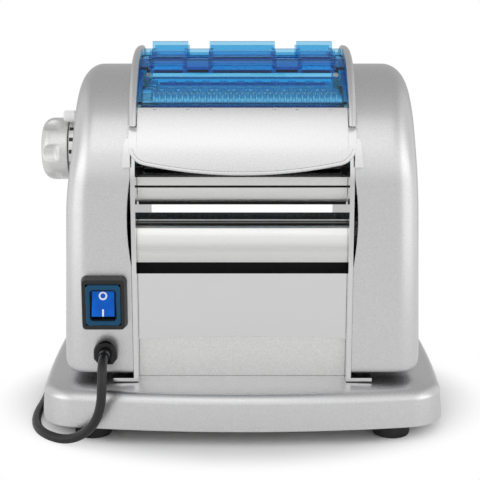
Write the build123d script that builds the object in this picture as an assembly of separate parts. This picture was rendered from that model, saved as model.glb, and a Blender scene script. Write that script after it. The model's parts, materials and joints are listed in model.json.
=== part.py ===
from build123d import *
import math
import os

# Electric pasta maker. Millimetres. X runs along the rollers (the switch and the knob are at -X),
# Y runs from the front (-Y) to the back, Z is up, and the table is at Z = 0.

# ---- base, feet -------------------------------------------------------------------------------
BASE_WIDTH = 294.0
BASE_DEPTH = 208.0
BASE_CORNER = 29.0          # corner radius of the base in plan
BASE_BOW_SIDE = 3.0         # how far the left and right sides of the base bow out
BASE_BOW_FRONT = 13.5       # how far its front and back bow out
BASE_BOTTOM = 10.5          # the rim of the base above the table
BASE_TOP = 39.5             # flat middle of the base
BASE_DRAFT = 4.0            # lean of the wall, degrees
BASE_ROUND = 8.0            # rounding from the wall to the crown
BASE_CROWN = 9.0            # slope of the crown, degrees
BASE_CROWN_Z = 37.0         # where the crown starts
BASE_ROUND_STEPS = 5
BASE_WALL = 3.0
BASE_PLATE = 2.0            # sheet that closes the base from below
BASE_PLATE_UP = 1.0         # how far it lies above the rim
BASE_PLATE_GAP = 0.5
BASE_SLOTS = 7              # air slots in that sheet
BASE_SLOT_LENGTH = 60.0
BASE_SLOT_WIDTH = 4.0
BASE_SLOT_PITCH = 9.0
FOOT_RADIUS = 13.2
FOOT_ROUND = 1.5
FOOT_POCKET = 5.0           # depth of the pocket for the screw head
FOOT_SPACING_X = 215.4
FOOT_SPACING_Y = 154.0
FOOT_SCREW = 14.0           # how deep the foot screws go into their bosses
SCREW_RADIUS = 2.0          # M4 machine screws everywhere
SCREW_HEAD = 3.6
SCREW_HEAD_HEIGHT = 2.2
FIT = 0.15                  # clearance between parts that are only laid together
RUNNING = 0.05              # radial clearance of a shaft in its bush

# ---- side frames and end housings ---------------------------------------------------------------
FRAME_GAP = 149.0           # between the two steel side frames
FRAME_T = 3.2
ARCH_Z = 181.0              # centre of the half-round top of the frames and housings
ARCH_RADIUS = 78.0
FRAME_FRONT = 1.0           # how far the steel frame stands out of the housing at the front
FRAME_FLANGE = 15.0         # foot flange that turns outwards on the base
FRAME_FLANGE_T = 2.5
HOUSING_X = 126.0           # outer face of an end housing half way up
HOUSING_MIDDLE_Z = 131.0
HOUSING_LEAN = 1.9          # lean of that face towards the rollers, degrees
HOUSING_BOTTOM = 44.3
HOUSING_EDGE = 19.0         # rounding of the outer edge
HOUSING_CORNER = 5.0
HOUSING_WALL = 2.6
CRESCENT_Z = 155.0          # middle of the crescent relief beside the frame
CRESCENT_LENGTH = 64.0
CRESCENT_WIDTH = 2.8

# ---- hood: rims, aprons, guard ------------------------------------------------------------------
RIM_HEIGHT = 13.5           # from the arch of the frames to the top of the rims
RIM_OUTER_X = 78.8
RIM_INNER_X = 73.0
RIM_EDGE = 4.5
RIM_END_Z = 223.5           # where the rims stop above the aprons
LEDGE_WIDTH = 2.4           # ledge under the guard
LEDGE_T = 2.0
APRON_HEIGHT = 7.5          # from the arch to an apron's outer face
APRON_T = 1.5
APRON_TOP_Z = 234.5
APRON_LIP_Z = 190.4         # lowest point of the lip, in the middle
APRON_LIP_RISE = 9.2        # how much higher the lip is at its corners
APRON_CORNER = 14.0
APRON_HALF = 78.4           # half width below the rims
APRON_NOTCHES = (22.0, 38.0, 60.7)
NOTCH_WIDTH = 2.5
NOTCH_DEPTH = 1.2
TURN_IN_Y = 57.5            # the top of an apron turns in to here
TURN_IN_RISE = 2.4
TURN_IN_T = 1.0
LIP_WIDTH = 2.6
LIP_PROUD = 1.2
EAR_LOW_Z = 196.5
EAR_HIGH_Z = 214.0
EAR_WIDTH = 4.5
EAR_DEPTH = 5.0
EAR_SLANT = 1.6
GUARD_HEIGHT = 6.6          # from the arch to the outer face of the transparent guard
GUARD_T = 2.2
GUARD_SIDE_GAP = 0.5
GUARD_WALL = 2.4
GUARD_END_Z = 246.0
RIDGE_Y = 28.0              # the outer ridges stand this far from the middle one
RIDGE_T = 2.8
RIDGE_LOW = 5.0             # height of a ridge above the guard's face
RIDGE_STEP = 5.0            # how much higher its tall teeth stand
RIDGE_SHIFT = 5.5           # how far the low parts of a ridge stand in front of the tall ones
RIDGE_ROUND = 1.2
TALL_MIDDLE = 48.0          # length of the middle tall tooth
TALL_SIDE_FROM = 39.7
TALL_SIDE_TO = 66.0
FEED_SLOTS = [(-39.2, 7.6), (-14.0, 9.0), (14.0, 9.0)]      # middle in Y, and width
SLOT_HALF = 68.0            # half length of the feed slots
FRONT_BAR_Y = 50.3          # bar across the front of the guard
FRONT_BAR_HALF = 58.0
FRONT_BAR_T = 2.8
FRONT_BAR_Z = 1.8

# ---- rollers, cutters, gears --------------------------------------------------------------------
ROLL_RADIUS = 14.0
ROLL_NIP_Y = -14.0
ROLL_Z = 196.0
ROLL_GAP_OPEN = 2.5
ROLL_GAP_CLOSED = 0.1
ROLL_HALF = 71.5
JOURNAL = 6.0               # radius of the roller journals
CUT_NIP_FRONT = -38.0
CUT_NIP_REAR = 14.0
CUT_TEETH = 12
CUT_MODULE = 1.4            # the gears that pair the cutters
CUT_RADIUS = 8.7
CUT_CORE = 7.6
CUT_JOURNAL = 3.5
FINE_PITCH = 4.0            # 2 mm ribbons: disc and groove
WIDE_PITCH = 13.0           # 6.5 mm ribbons
CUT_SIDE_PLAY = 0.1
CUT_HALF = 70.0
PAIR_GEAR_WIDTH = 6.0       # room for the pair gears at the left end of the cutters
PAIR_GEAR_GAP = 1.0
DISC_FACETS = 12
DRIVE_MODULE = 1.5
ROLL_TEETH = 38
CUTTER_GEAR_TEETH = 14
BIG_TEETH = 42
PINION_TEETH = 12
LONG_TEETH = 16             # long-tooth gears that pair the two rollers
LONG_MODULE = 1.83
GEAR_WIDTH = 8.0
AXLE_RADIUS = 4.0           # fixed axles of the idler and the big gear
GEAR_OFFSET = 3.0           # from the outer face of the frame to the first gear
BIG_ANGLE = -80.0           # direction from the roller to the big gear, from +Y towards +Z
PINION_ANGLE = -70.0

# ---- thickness adjustment ------------------------------------------------------------------------
KNOB_RADIUS = 23.0
KNOB_FACE_X = -149.5
KNOB_LENGTH = 21.0
KNOB_FLUTES = 6
KNOB_FLUTE_RADIUS = 9.0
KNOB_DOME = 1.0
KNOB_ROUND = 8.5
KNOB_COLLAR = 6.0
KNOB_TURN = 100.0
KNOB_SHAFT = 5.0
DIAL_T = 3.5
ECCENTRIC_RADIUS = 8.0
YOKE_PLAY = 0.15
BLOCK_HALF = 11.0           # half width and half height of a roller's bearing block
PEG_Y = -12.0
PEG_Z = 221.8
PEG_RADIUS = 4.25
PEG_END_X = -133.0
PEG_TRAVEL = 3.0
PEG_STEM = 12.0             # how far its stem reaches into the housing

# ---- front and rear plates -----------------------------------------------------------------------
PANEL_Y = ARCH_RADIUS - 12.0    # face of the lower panel, from the middle plane
SHEET_T = 1.2
PANEL_TOP = 68.5
PLATE_Y = ARCH_RADIUS - 9.0
PLATE_TOP = 116.8
PLATE_ARC = 1.6             # rise of the plate's lower edge in the middle
COVER_LOW = 124.5
COVER_TOP = 153.0
COVER_Y = ARCH_RADIUS - 12.0
COVER_BOW = 5.2
VENT_Y = ARCH_RADIUS - 18.0
SCRAPER_LOW = 167.0
SCRAPER_FOLD = 177.6
SCRAPER_TOP = 184.8
SCRAPER_Y = ARCH_RADIUS - 18.0
SCRAPER_TILT = 4.0
SCRAPER_BACK = 9.0
TRAY_RIDGE_Y = -29.5
SILL_TOP = 131.0
TIE_RADIUS = 4.0
TIE_LOW = (52.0, 60.0)      # places of the tie rods in Y and Z
TIE_HIGH = (46.0, 174.0)
TIE_SCREW = 12.0            # how deep their screws go

# ---- switch, gland, cord -------------------------------------------------------------------------
SWITCH_X = -97.5
SWITCH_Z = 98.5
BOOT_WIDTH = 32.5
BOOT_HEIGHT = 38.5
BOOT_DEPTH = 8.5
BOOT_TAPER = 9.0
BEZEL_WIDTH = 24.5
BEZEL_HEIGHT = 29.5
BEZEL_PROUD = 2.0
ROCKER_WIDTH = 16.0
ROCKER_HEIGHT = 20.0
ROCKER_SWING = 20.0
GLAND_X = -97.0
GLAND_Z = 63.5
GLAND_RADIUS = 8.3
GLAND_LENGTH = 16.0
CORD_RADIUS = 3.35
CORD_POINTS = [             # route of the cord, from the gland to the coil behind the machine
    (-97, -97, 63.5), (-97, -106, 62), (-97, -112, 51), (-97.5, -113, 35), (-102, -112, 21), (-112, -108, 10),
    (-125, -101, 3.6), (-140, -91, 3.4), (-150, -74, 3.4), (-153.5, -48, 3.4), (-151, -16, 3.4),
    (-153, 22, 3.4), (-152, 64, 3.4), (-142, 100, 3.4), (-112, 118.5, 3.4), (-78, 122, 3.4),
]
TAIL_POINTS = [(-66, 122, 10.2), (-44, 121, 10.8), (-28, 122.5, 15), (-14, 124, 19)]
ARC_SHARE = 0.45            # share of the shorter run that an arc of the cord takes up
COIL_MEAN = 36.0            # radius of the middle of the coil's turns
COIL_WIDTH = 21.0
COIL_HEIGHT = 14.0
COIL_X = -70.0
COIL_Y = 158.0
TIE_WIDTH = 10.0
TIE_T = 1.2
PLUG_X = -14.0              # where the cord enters the plug
PLUG_Y = 124.0
PLUG_RADIUS = 19.0
PLUG_TAPER = 22.0
PLUG_BODY = 34.0
PLUG_PIN = 2.4
PLUG_PIN_LENGTH = 19.0
PLUG_PIN_SPACING = 19.0

os.makedirs("parts", exist_ok=True)

RIM_RADIUS = ARCH_RADIUS + RIM_HEIGHT
APRON_RADIUS = ARCH_RADIUS + APRON_HEIGHT
GUARD_RADIUS = ARCH_RADIUS + GUARD_HEIGHT
FRAME_IN = FRAME_GAP / 2
FRAME_OUT = FRAME_IN + FRAME_T
GEAR_X = FRAME_OUT + GEAR_OFFSET
FRONT_ROLL_Y = ROLL_NIP_Y - ROLL_RADIUS - ROLL_GAP_OPEN / 2
REAR_ROLL_Y = ROLL_NIP_Y + ROLL_RADIUS + ROLL_GAP_OPEN / 2
ROLL_TRAVEL = ROLL_GAP_OPEN - ROLL_GAP_CLOSED
CUT_PITCH = CUT_TEETH * CUT_MODULE
FRONT_CUT_IN = CUT_NIP_FRONT + CUT_PITCH / 2
FRONT_CUT_OUT = CUT_NIP_FRONT - CUT_PITCH / 2
REAR_CUT_IN = CUT_NIP_REAR - CUT_PITCH / 2
REAR_CUT_OUT = CUT_NIP_REAR + CUT_PITCH / 2
DRIVE_REACH = DRIVE_MODULE * (ROLL_TEETH + CUTTER_GEAR_TEETH) / 2
CUT_Z = ROLL_Z + math.sqrt(DRIVE_REACH**2 - (FRONT_CUT_IN - FRONT_ROLL_Y) ** 2)


def save(shape, node):
    export_step(shape, f"parts/{node}.step")
    return shape


def block(x0, x1, y0, y1, z0, z1):
    """A box between two corners."""
    middle = ((x0 + x1) / 2, (y0 + y1) / 2, (z0 + z1) / 2)
    return Pos(*middle) * Box(abs(x1 - x0), abs(y1 - y0), abs(z1 - z0))


def rod_x(radius, x0, x1, y, z):
    """A round bar along X."""
    low, high = min(x0, x1), max(x0, x1)
    return extrude(Plane.YZ.offset(low) * Pos(y, z) * Circle(radius), high - low)


def rod_y(radius, x, y0, y1, z):
    """A round bar along Y."""
    low, high = min(y0, y1), max(y0, y1)
    return extrude(Plane.XZ.offset(-high) * Pos(x, z) * Circle(radius), high - low)


def rod_z(radius, x, y, z0, z1):
    """A round bar along Z."""
    return extrude(Plane.XY.offset(z0) * Pos(x, y) * Circle(radius), z1 - z0)


def side_slab(face, x0, x1):
    """A side outline, drawn as (Y, Z), made solid between two X places."""
    return extrude(Plane.YZ.offset(min(x0, x1)) * face, abs(x1 - x0))


def front_slab(face, y0, y1):
    """A front outline, drawn as (X, Z), made solid between two Y places."""
    return extrude(Plane.XZ.offset(-max(y0, y1)) * face, abs(y1 - y0))


def ring(outer, inner):
    """A flat ring about the centre of the arch, drawn as (Y, Z)."""
    return Pos(0, ARCH_Z) * (Circle(outer) - Circle(inner))


def both_sides(shape):
    return shape + mirror(shape, Plane.YZ)


# ---- base ----------------------------------------------------------------------------------------
def base_plan(inset):
    """A rectangle whose four sides bow out, with round corners."""
    x, y = BASE_WIDTH / 2 - inset, BASE_DEPTH / 2 - inset
    corner_x, corner_y = x - BASE_BOW_SIDE, y - BASE_BOW_FRONT
    sides = [
        ThreePointArc((-corner_x, -corner_y), (0, -y), (corner_x, -corner_y)),
        ThreePointArc((corner_x, -corner_y), (x, 0), (corner_x, corner_y)),
        ThreePointArc((corner_x, corner_y), (0, y), (-corner_x, corner_y)),
        ThreePointArc((-corner_x, corner_y), (-x, 0), (-corner_x, -corner_y)),
    ]
    face = make_face(sides)
    return fillet(face.vertices(), max(BASE_CORNER - inset, BASE_CORNER / 4))


def base_levels(skin, bottom):
    """Inset and height of the outlines of the base: wall, rounding and crown; skin moves them inwards."""
    draft, crown = math.radians(BASE_DRAFT), math.radians(90 - BASE_CROWN)
    centre_z = BASE_CROWN_Z - BASE_ROUND * math.sin(crown)
    wall_top = centre_z + BASE_ROUND * math.sin(draft)
    centre_in = (wall_top - BASE_BOTTOM) * math.tan(draft) + BASE_ROUND * math.cos(draft)
    levels = [(skin, bottom)]
    for step in range(BASE_ROUND_STEPS + 1):
        angle = draft + (crown - draft) * step / BASE_ROUND_STEPS
        reach = BASE_ROUND - skin
        levels.append((centre_in - reach * math.cos(angle), centre_z + reach * math.sin(angle)))
    inset, z = levels[-1]
    levels.append((inset + (BASE_TOP - skin - z) * math.tan(crown), BASE_TOP - skin))
    return levels


def base_body(skin, bottom):
    outlines = [Plane.XY.offset(z) * base_plan(inset) for inset, z in base_levels(skin, bottom)]
    return loft(outlines, ruled=True)


def foot_places():
    x, y = FOOT_SPACING_X / 2, FOOT_SPACING_Y / 2
    return [(sx * x, sy * y) for sx in (-1, 1) for sy in (-1, 1)]


def plate_top_z():
    return BASE_BOTTOM + BASE_PLATE_UP + BASE_PLATE


def make_base():
    base = base_body(0, BASE_BOTTOM) - base_body(BASE_WALL, BASE_BOTTOM - 1)
    ceiling = BASE_TOP - BASE_WALL
    for x, y in foot_places():
        base += rod_z(SCREW_HEAD + 3, x, y, plate_top_z(), ceiling + 0.5)
        base -= rod_z(SCREW_RADIUS, x, y, plate_top_z() - 1, plate_top_z() + FOOT_SCREW + 2)
    for x, y in flange_screw_places():
        base += rod_z(SCREW_HEAD + 2, x, y, ceiling - 6, ceiling + 0.5)
        base -= rod_z(SCREW_RADIUS, x, y, ceiling - 7, BASE_TOP + 1)
    return base


def make_base_plate():
    low, top = BASE_BOTTOM + BASE_PLATE_UP, plate_top_z()
    plate = extrude(Plane.XY.offset(low) * base_plan(BASE_WALL + BASE_PLATE_GAP), BASE_PLATE)
    for x, y in foot_places():
        plate -= rod_z(SCREW_RADIUS, x, y, low - 1, top + 1)
    slot = SlotOverall(BASE_SLOT_LENGTH, BASE_SLOT_WIDTH)
    for row in range(BASE_SLOTS):
        y = (row - (BASE_SLOTS - 1) / 2) * BASE_SLOT_PITCH
        plate -= extrude(Plane.XY.offset(low - 1) * Pos(0, y) * slot, BASE_PLATE + 2)
    return plate


def make_feet():
    """Rubber feet with a pocket each for the screw head."""
    feet = []
    for x, y in foot_places():
        foot = rod_z(FOOT_RADIUS, x, y, 0, BASE_BOTTOM + BASE_PLATE_UP)
        foot = fillet(foot.edges().sort_by(Axis.Z)[0], FOOT_ROUND)
        foot -= rod_z(SCREW_HEAD + 0.6, x, y, -1, FOOT_POCKET)
        foot -= rod_z(SCREW_RADIUS, x, y, FOOT_POCKET - 1, BASE_BOTTOM + BASE_PLATE_UP + 1)
        feet.append(foot)
    return Compound(feet)


def flange_screw_places():
    x = FRAME_OUT + FRAME_FLANGE / 2
    return [(side * x, y) for side in (-1, 1) for y in (-50, 50)]


def make_screws():
    """All the machine screws: through the feet, the foot flanges and the side frames."""
    screws = []
    for x, y in foot_places():
        screws.append(rod_z(SCREW_HEAD, x, y, FOOT_POCKET - SCREW_HEAD_HEIGHT, FOOT_POCKET)
                      + rod_z(SCREW_RADIUS, x, y, FOOT_POCKET, plate_top_z() + FOOT_SCREW))
    for x, y in flange_screw_places():
        z = BASE_TOP + FRAME_FLANGE_T
        screws.append(rod_z(SCREW_RADIUS, x, y, BASE_TOP - BASE_WALL - 4, z)
                      + rod_z(SCREW_HEAD, x, y, z, z + SCREW_HEAD_HEIGHT))
    for side in (-1, 1):
        for y, z in tie_places():
            screws.append(rod_x(SCREW_HEAD, side * FRAME_OUT, side * (FRAME_OUT + SCREW_HEAD_HEIGHT), y, z)
                          + rod_x(SCREW_RADIUS, side * (FRAME_IN - TIE_SCREW), side * FRAME_OUT, y, z))
    return Compound(screws)


# ---- frames and housings -------------------------------------------------------------------------
def arch_face(radius, bottom, corner):
    """Straight legs under a half circle, drawn as (Y, Z)."""
    outline = [
        Line((-radius, bottom), (-radius, ARCH_Z)),
        ThreePointArc((-radius, ARCH_Z), (0, ARCH_Z + radius), (radius, ARCH_Z)),
        Line((radius, ARCH_Z), (radius, bottom)),
        Line((radius, bottom), (-radius, bottom)),
    ]
    face = make_face(outline)
    if corner:
        face = fillet(face.vertices().group_by(Axis.Y)[0], corner)
    return face


def bush_places():
    """Centres of the bores in a frame that hold bushes, as (Y, Z, bore radius)."""
    cutters = [FRONT_CUT_OUT, FRONT_CUT_IN, REAR_CUT_IN, REAR_CUT_OUT]
    return [(FRONT_ROLL_Y, ROLL_Z, JOURNAL + 3)] + [(y, CUT_Z, CUT_JOURNAL + 2) for y in cutters]


def block_window():
    """The window a bearing block slides in: (y0, y1, z0, z1)."""
    y0 = REAR_ROLL_Y - BLOCK_HALF - ROLL_TRAVEL - FIT
    y1 = REAR_ROLL_Y + BLOCK_HALF + FIT
    return y0, y1, ROLL_Z - BLOCK_HALF - FIT, ROLL_Z + BLOCK_HALF + FIT


def tie_places():
    return [(side * y, z) for y, z in (TIE_LOW, TIE_HIGH) for side in (-1, 1)]


def make_frame(side):
    """Steel side plate with its foot flange; side is -1 for the left one."""
    flange_top = BASE_TOP + FRAME_FLANGE_T
    plate = side_slab(arch_face(ARCH_RADIUS, BASE_TOP, 0), side * FRAME_IN, side * FRAME_OUT)
    strip = block(side * FRAME_IN, side * FRAME_OUT, -ARCH_RADIUS - FRAME_FRONT, -ARCH_RADIUS + 1,
                  BASE_TOP, ARCH_Z)
    flange = block(side * FRAME_IN, side * (FRAME_OUT + FRAME_FLANGE), -ARCH_RADIUS - FRAME_FRONT,
                   ARCH_RADIUS, BASE_TOP, flange_top)
    frame = plate + strip + flange
    for y, z, radius in bush_places():
        frame -= rod_x(radius, side * (FRAME_IN - 1), side * (FRAME_OUT + 1), y, z)
    y0, y1, z0, z1 = block_window()
    frame -= block(side * (FRAME_IN - 1), side * (FRAME_OUT + 1), y0, y1, z0, z1)
    for y, z in tie_places():
        frame -= rod_x(SCREW_RADIUS + FIT, side * (FRAME_IN - 1), side * (FRAME_OUT + 1), y, z)
    if side > 0:
        for y, z, radius in ((*PINION, AXLE_RADIUS + 1), (*BIG, AXLE_RADIUS), (*IDLER, AXLE_RADIUS)):
            frame -= rod_x(radius, FRAME_IN - 1, FRAME_OUT + 1, y, z)
    for x, y in flange_screw_places():
        frame -= rod_z(SCREW_RADIUS + FIT, x, y, BASE_TOP - 1, flange_top + 1)
    return frame


def housing_face_x(z):
    """Where the leaning outer face of a housing stands at a height."""
    return HOUSING_X - (z - HOUSING_MIDDLE_Z) * math.tan(math.radians(HOUSING_LEAN))


def inside_of_face(inset):
    """Everything on the inner side of the right housing's leaning face."""
    top = 2 * ARCH_Z
    outline = make_face(Polyline((0, 0), (housing_face_x(0) - inset, 0), (housing_face_x(top) - inset, top),
                                 (0, top), close=True))
    return front_slab(outline, -2 * ARCH_RADIUS, 2 * ARCH_RADIUS)


def housing_body(inset):
    """The outside of an end housing, or the hollow in it, on the +X side."""
    face = arch_face(ARCH_RADIUS - inset, HOUSING_BOTTOM + inset, HOUSING_CORNER)
    body = side_slab(face, FRAME_OUT + 0.1, housing_face_x(0)) & inside_of_face(inset)
    edges = body.faces().sort_by(Axis.X)[-1].edges()
    return fillet(edges, HOUSING_EDGE - inset)


def crescent():
    """A lens-shaped relief down the front inner corner of a housing."""
    half = CRESCENT_LENGTH / 2
    low, high = CRESCENT_Z - half, CRESCENT_Z + half
    edge = FRAME_OUT
    lens = make_face([
        Line((edge, low), (edge, high)),
        ThreePointArc((edge, high), (edge + CRESCENT_WIDTH, CRESCENT_Z), (edge, low)),
    ])
    return front_slab(lens, -ARCH_RADIUS - 1, -ARCH_RADIUS + HOUSING_WALL - 0.6)


def make_housing(side):
    hollow = housing_body(HOUSING_WALL)
    shell = housing_body(0) - hollow
    shell -= crescent()
    flange_room = FRAME_OUT + FRAME_FLANGE + 1
    shell -= block(FRAME_OUT, flange_room, -ARCH_RADIUS + HOUSING_WALL + 1, ARCH_RADIUS - HOUSING_WALL - 1,
                   HOUSING_BOTTOM - 1, HOUSING_BOTTOM + HOUSING_WALL + 1)
    shell = shell if side > 0 else mirror(shell, Plane.YZ)
    if side < 0:
        inner = HOUSING_WALL + 4
        shell -= rod_x(KNOB_SHAFT + 3, -HOUSING_X, -housing_face_x(ROLL_Z) + inner, REAR_ROLL_Y, ROLL_Z)
        shell -= rod_x(PEG_RADIUS - 1 + FIT, -HOUSING_X, -housing_face_x(PEG_Z) + inner, PEG_Y, PEG_Z)
        cut_w, cut_h = BEZEL_WIDTH - 3, BEZEL_HEIGHT - 3
        shell -= block(SWITCH_X - cut_w / 2, SWITCH_X + cut_w / 2, -ARCH_RADIUS - 1, -ARCH_RADIUS + 4,
                       SWITCH_Z - cut_h / 2, SWITCH_Z + cut_h / 2)
        shell -= rod_y(CORD_RADIUS + 2 + FIT, GLAND_X, -ARCH_RADIUS - 1, -ARCH_RADIUS + 4, GLAND_Z)
    return shell


# ---- hood ----------------------------------------------------------------------------------------
def make_rim(side):
    """Arched rail over the frame that holds the guard, with a ledge on its inner side."""
    keep = Pos(0, (RIM_END_Z + ARCH_Z + RIM_RADIUS) / 2 + 5) * Rectangle(
        4 * RIM_RADIUS, ARCH_Z + RIM_RADIUS - RIM_END_Z + 10)
    rail = side_slab(ring(RIM_RADIUS, ARCH_RADIUS + FIT) & keep, RIM_INNER_X, RIM_OUTER_X)
    outer = rail.edges().filter_by(GeomType.CIRCLE).group_by(Axis.X)[-1].sort_by(SortBy.LENGTH)[-1]
    rail = fillet(outer, RIM_EDGE)
    ledge_top = ARCH_RADIUS + FIT + LEDGE_T
    ledge = side_slab(ring(ledge_top, ARCH_RADIUS + FIT) & keep, RIM_INNER_X - LEDGE_WIDTH, FRAME_IN)
    rim = rail + ledge
    return rim if side > 0 else mirror(rim, Plane.YZ)


def apron_outline(inset):
    """Front outline of an apron below the rims, drawn as (X, Z): upright sides and an arched lower edge."""
    half, top = APRON_HALF - inset, RIM_END_Z - 1.5
    low = APRON_LIP_Z + inset
    corner_z = low + APRON_LIP_RISE
    lower = make_face([
        Line((-half, top), (-half, corner_z)),
        ThreePointArc((-half, corner_z), (0, low), (half, corner_z)),
        Line((half, corner_z), (half, top)),
        Line((half, top), (-half, top)),
    ])
    return fillet(lower.vertices().group_by(Axis.Y)[0], APRON_CORNER - inset)


def turn_in(half):
    """The top of an apron, turned in towards the cutters."""
    low = APRON_TOP_Z - TURN_IN_T
    root = -ARCH_RADIUS - APRON_HEIGHT + APRON_T / 2
    start = -math.sqrt((APRON_RADIUS - APRON_T / 2) ** 2 - (low - ARCH_Z) ** 2)
    end = max(-TURN_IN_Y, root)
    high = low + TURN_IN_RISE
    section = make_face(Polyline((start, low), (end, high), (end, high + TURN_IN_T), (start, low + TURN_IN_T),
                                 close=True))
    return side_slab(section, -half, half)


def make_ear():
    """One of the tabs that stand out beside the lower corners of an apron."""
    back = -ARCH_RADIUS - 0.4
    root = APRON_HALF - 1.2
    outline = make_face(Polyline(
        (root, EAR_LOW_Z - EAR_SLANT), (APRON_HALF + EAR_WIDTH, EAR_LOW_Z),
        (APRON_HALF + EAR_WIDTH - EAR_SLANT, EAR_HIGH_Z), (APRON_HALF + EAR_SLANT, EAR_HIGH_Z + EAR_SLANT),
        (root, EAR_HIGH_Z + EAR_SLANT), close=True))
    return front_slab(outline, back - EAR_DEPTH, back)


def make_apron():
    """The front apron: a sheet rolled about the arch's centre, with a beaded lower edge and side ears."""
    narrow_half = RIM_INNER_X - 0.4
    narrow_low = RIM_END_Z - 2
    narrow = Pos(0, (narrow_low + APRON_TOP_Z) / 2) * Rectangle(2 * narrow_half, APRON_TOP_Z - narrow_low)
    front, rear = -2 * ARCH_RADIUS, -ARCH_RADIUS / 2
    outline = apron_outline(0) + narrow
    sheet = side_slab(ring(APRON_RADIUS, APRON_RADIUS - APRON_T), -APRON_HALF - 1, APRON_HALF + 1)
    sheet &= front_slab(outline, front, rear)
    bead = apron_outline(0) - apron_outline(LIP_WIDTH)
    bead -= Pos(0, RIM_END_Z) * Rectangle(3 * APRON_HALF, 2 * (RIM_END_Z - EAR_HIGH_Z + 6))
    thick = side_slab(ring(APRON_RADIUS + LIP_PROUD, APRON_RADIUS - APRON_T), -APRON_HALF - 1, APRON_HALF + 1)
    apron = sheet + (thick & front_slab(bead, front, rear)) + turn_in(RIM_INNER_X - LEDGE_WIDTH - 0.4)
    for place in APRON_NOTCHES:
        for x in (-place, place):
            apron -= block(x - NOTCH_WIDTH / 2, x + NOTCH_WIDTH / 2, front, -TURN_IN_Y - 6,
                           APRON_TOP_Z - NOTCH_DEPTH, APRON_TOP_Z + TURN_IN_RISE)
    return apron + both_sides(make_ear())


def face_height(radius, y):
    """Height of a circle about the arch's centre at a given Y."""
    return ARCH_Z + math.sqrt(radius**2 - y**2)


def ridge_wall(x0, x1, y, height):
    """A straight part of a ridge on the guard, rooted in its shell; height is the level of its top."""
    half = RIDGE_T / 2
    root = face_height(GUARD_RADIUS - GUARD_T / 2, abs(y) + half)
    return block(x0, x1, y - half, y + half, root, height)


def ridge(y, half):
    """A castellated ridge: tall teeth in line, joined by low walls that stand further forward."""
    low = face_height(GUARD_RADIUS, y) + RIDGE_LOW
    fronts = y - RIDGE_SHIFT
    teeth = [(-TALL_SIDE_TO, -TALL_SIDE_FROM), (-TALL_MIDDLE / 2, TALL_MIDDLE / 2),
             (TALL_SIDE_FROM, TALL_SIDE_TO)]
    gaps = [(-half, -TALL_SIDE_TO), (-TALL_SIDE_FROM, -TALL_MIDDLE / 2), (TALL_MIDDLE / 2, TALL_SIDE_FROM),
            (TALL_SIDE_TO, half)]
    parts = []
    for x0, x1 in teeth:
        tooth = ridge_wall(x0, x1, y, low + RIDGE_STEP)
        parts.append(fillet(tooth.edges().filter_by(Axis.Y).group_by(Axis.Z)[-1], RIDGE_ROUND))
        for x in (x0 + RIDGE_T / 2, x1 - RIDGE_T / 2):
            root = face_height(GUARD_RADIUS - GUARD_T / 2, abs(y) + RIDGE_SHIFT)
            parts.append(block(x - RIDGE_T / 2, x + RIDGE_T / 2, fronts, y, root, low))
    for x0, x1 in gaps:
        parts.append(ridge_wall(x0 - RIDGE_T / 2 if x0 > -half else x0, x1 + RIDGE_T / 2 if x1 < half else x1,
                                fronts, low))
    return parts


def make_guard():
    """Transparent guard: an arched shell with three feed slots and three castellated ridges."""
    half = RIM_INNER_X - GUARD_SIDE_GAP
    keep = Pos(0, GUARD_END_Z + GUARD_RADIUS) * Rectangle(4 * GUARD_RADIUS, 2 * GUARD_RADIUS)
    shell = side_slab(ring(GUARD_RADIUS, GUARD_RADIUS - GUARD_T) & keep, -half, half)
    ledge_top = ARCH_RADIUS + FIT + LEDGE_T + 0.2
    wall_face = ring(GUARD_RADIUS, ledge_top) & keep
    guard = shell + both_sides(side_slab(wall_face, half - GUARD_WALL, half))
    for y, width in FEED_SLOTS:
        top = face_height(GUARD_RADIUS, y)
        guard -= block(-SLOT_HALF, SLOT_HALF, y - width / 2, y + width / 2, top - 12, top + 8)
    for y in (-RIDGE_Y, 0, RIDGE_Y):
        for part in ridge(y, half):
            guard += part
    bar_root = face_height(GUARD_RADIUS - GUARD_T / 2, FRONT_BAR_Y)
    bar_y0, bar_y1 = -FRONT_BAR_Y - FRONT_BAR_T / 2, -FRONT_BAR_Y + FRONT_BAR_T / 2
    bar_top = bar_root + GUARD_T / 2 + FRONT_BAR_Z
    return guard + block(-FRONT_BAR_HALF, FRONT_BAR_HALF, bar_y0, bar_y1, bar_root, bar_top)


# ---- gears ---------------------------------------------------------------------------------------
def mesh_phase(direction, teeth, phase, mate_teeth):
    """The angle of one tooth of a gear that meshes with another one, seen along the line of centres."""
    return direction + 180 - (phase - direction) * teeth / mate_teeth + 180 / mate_teeth


def meet(a, radius_a, b, radius_b):
    """The lower of the two points at given distances from two centres."""
    across = math.dist(a, b)
    along = (radius_a**2 - radius_b**2 + across**2) / (2 * across)
    off = math.sqrt(radius_a**2 - along**2)
    uy, uz = (b[0] - a[0]) / across, (b[1] - a[1]) / across
    return a[0] + along * uy + off * uz, a[1] + along * uz - off * uy


def polar(centre, distance, angle):
    turn = math.radians(angle)
    return centre[0] + distance * math.cos(turn), centre[1] + distance * math.sin(turn)


def heading(a, b):
    return math.degrees(math.atan2(b[1] - a[1], b[0] - a[0]))


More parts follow.
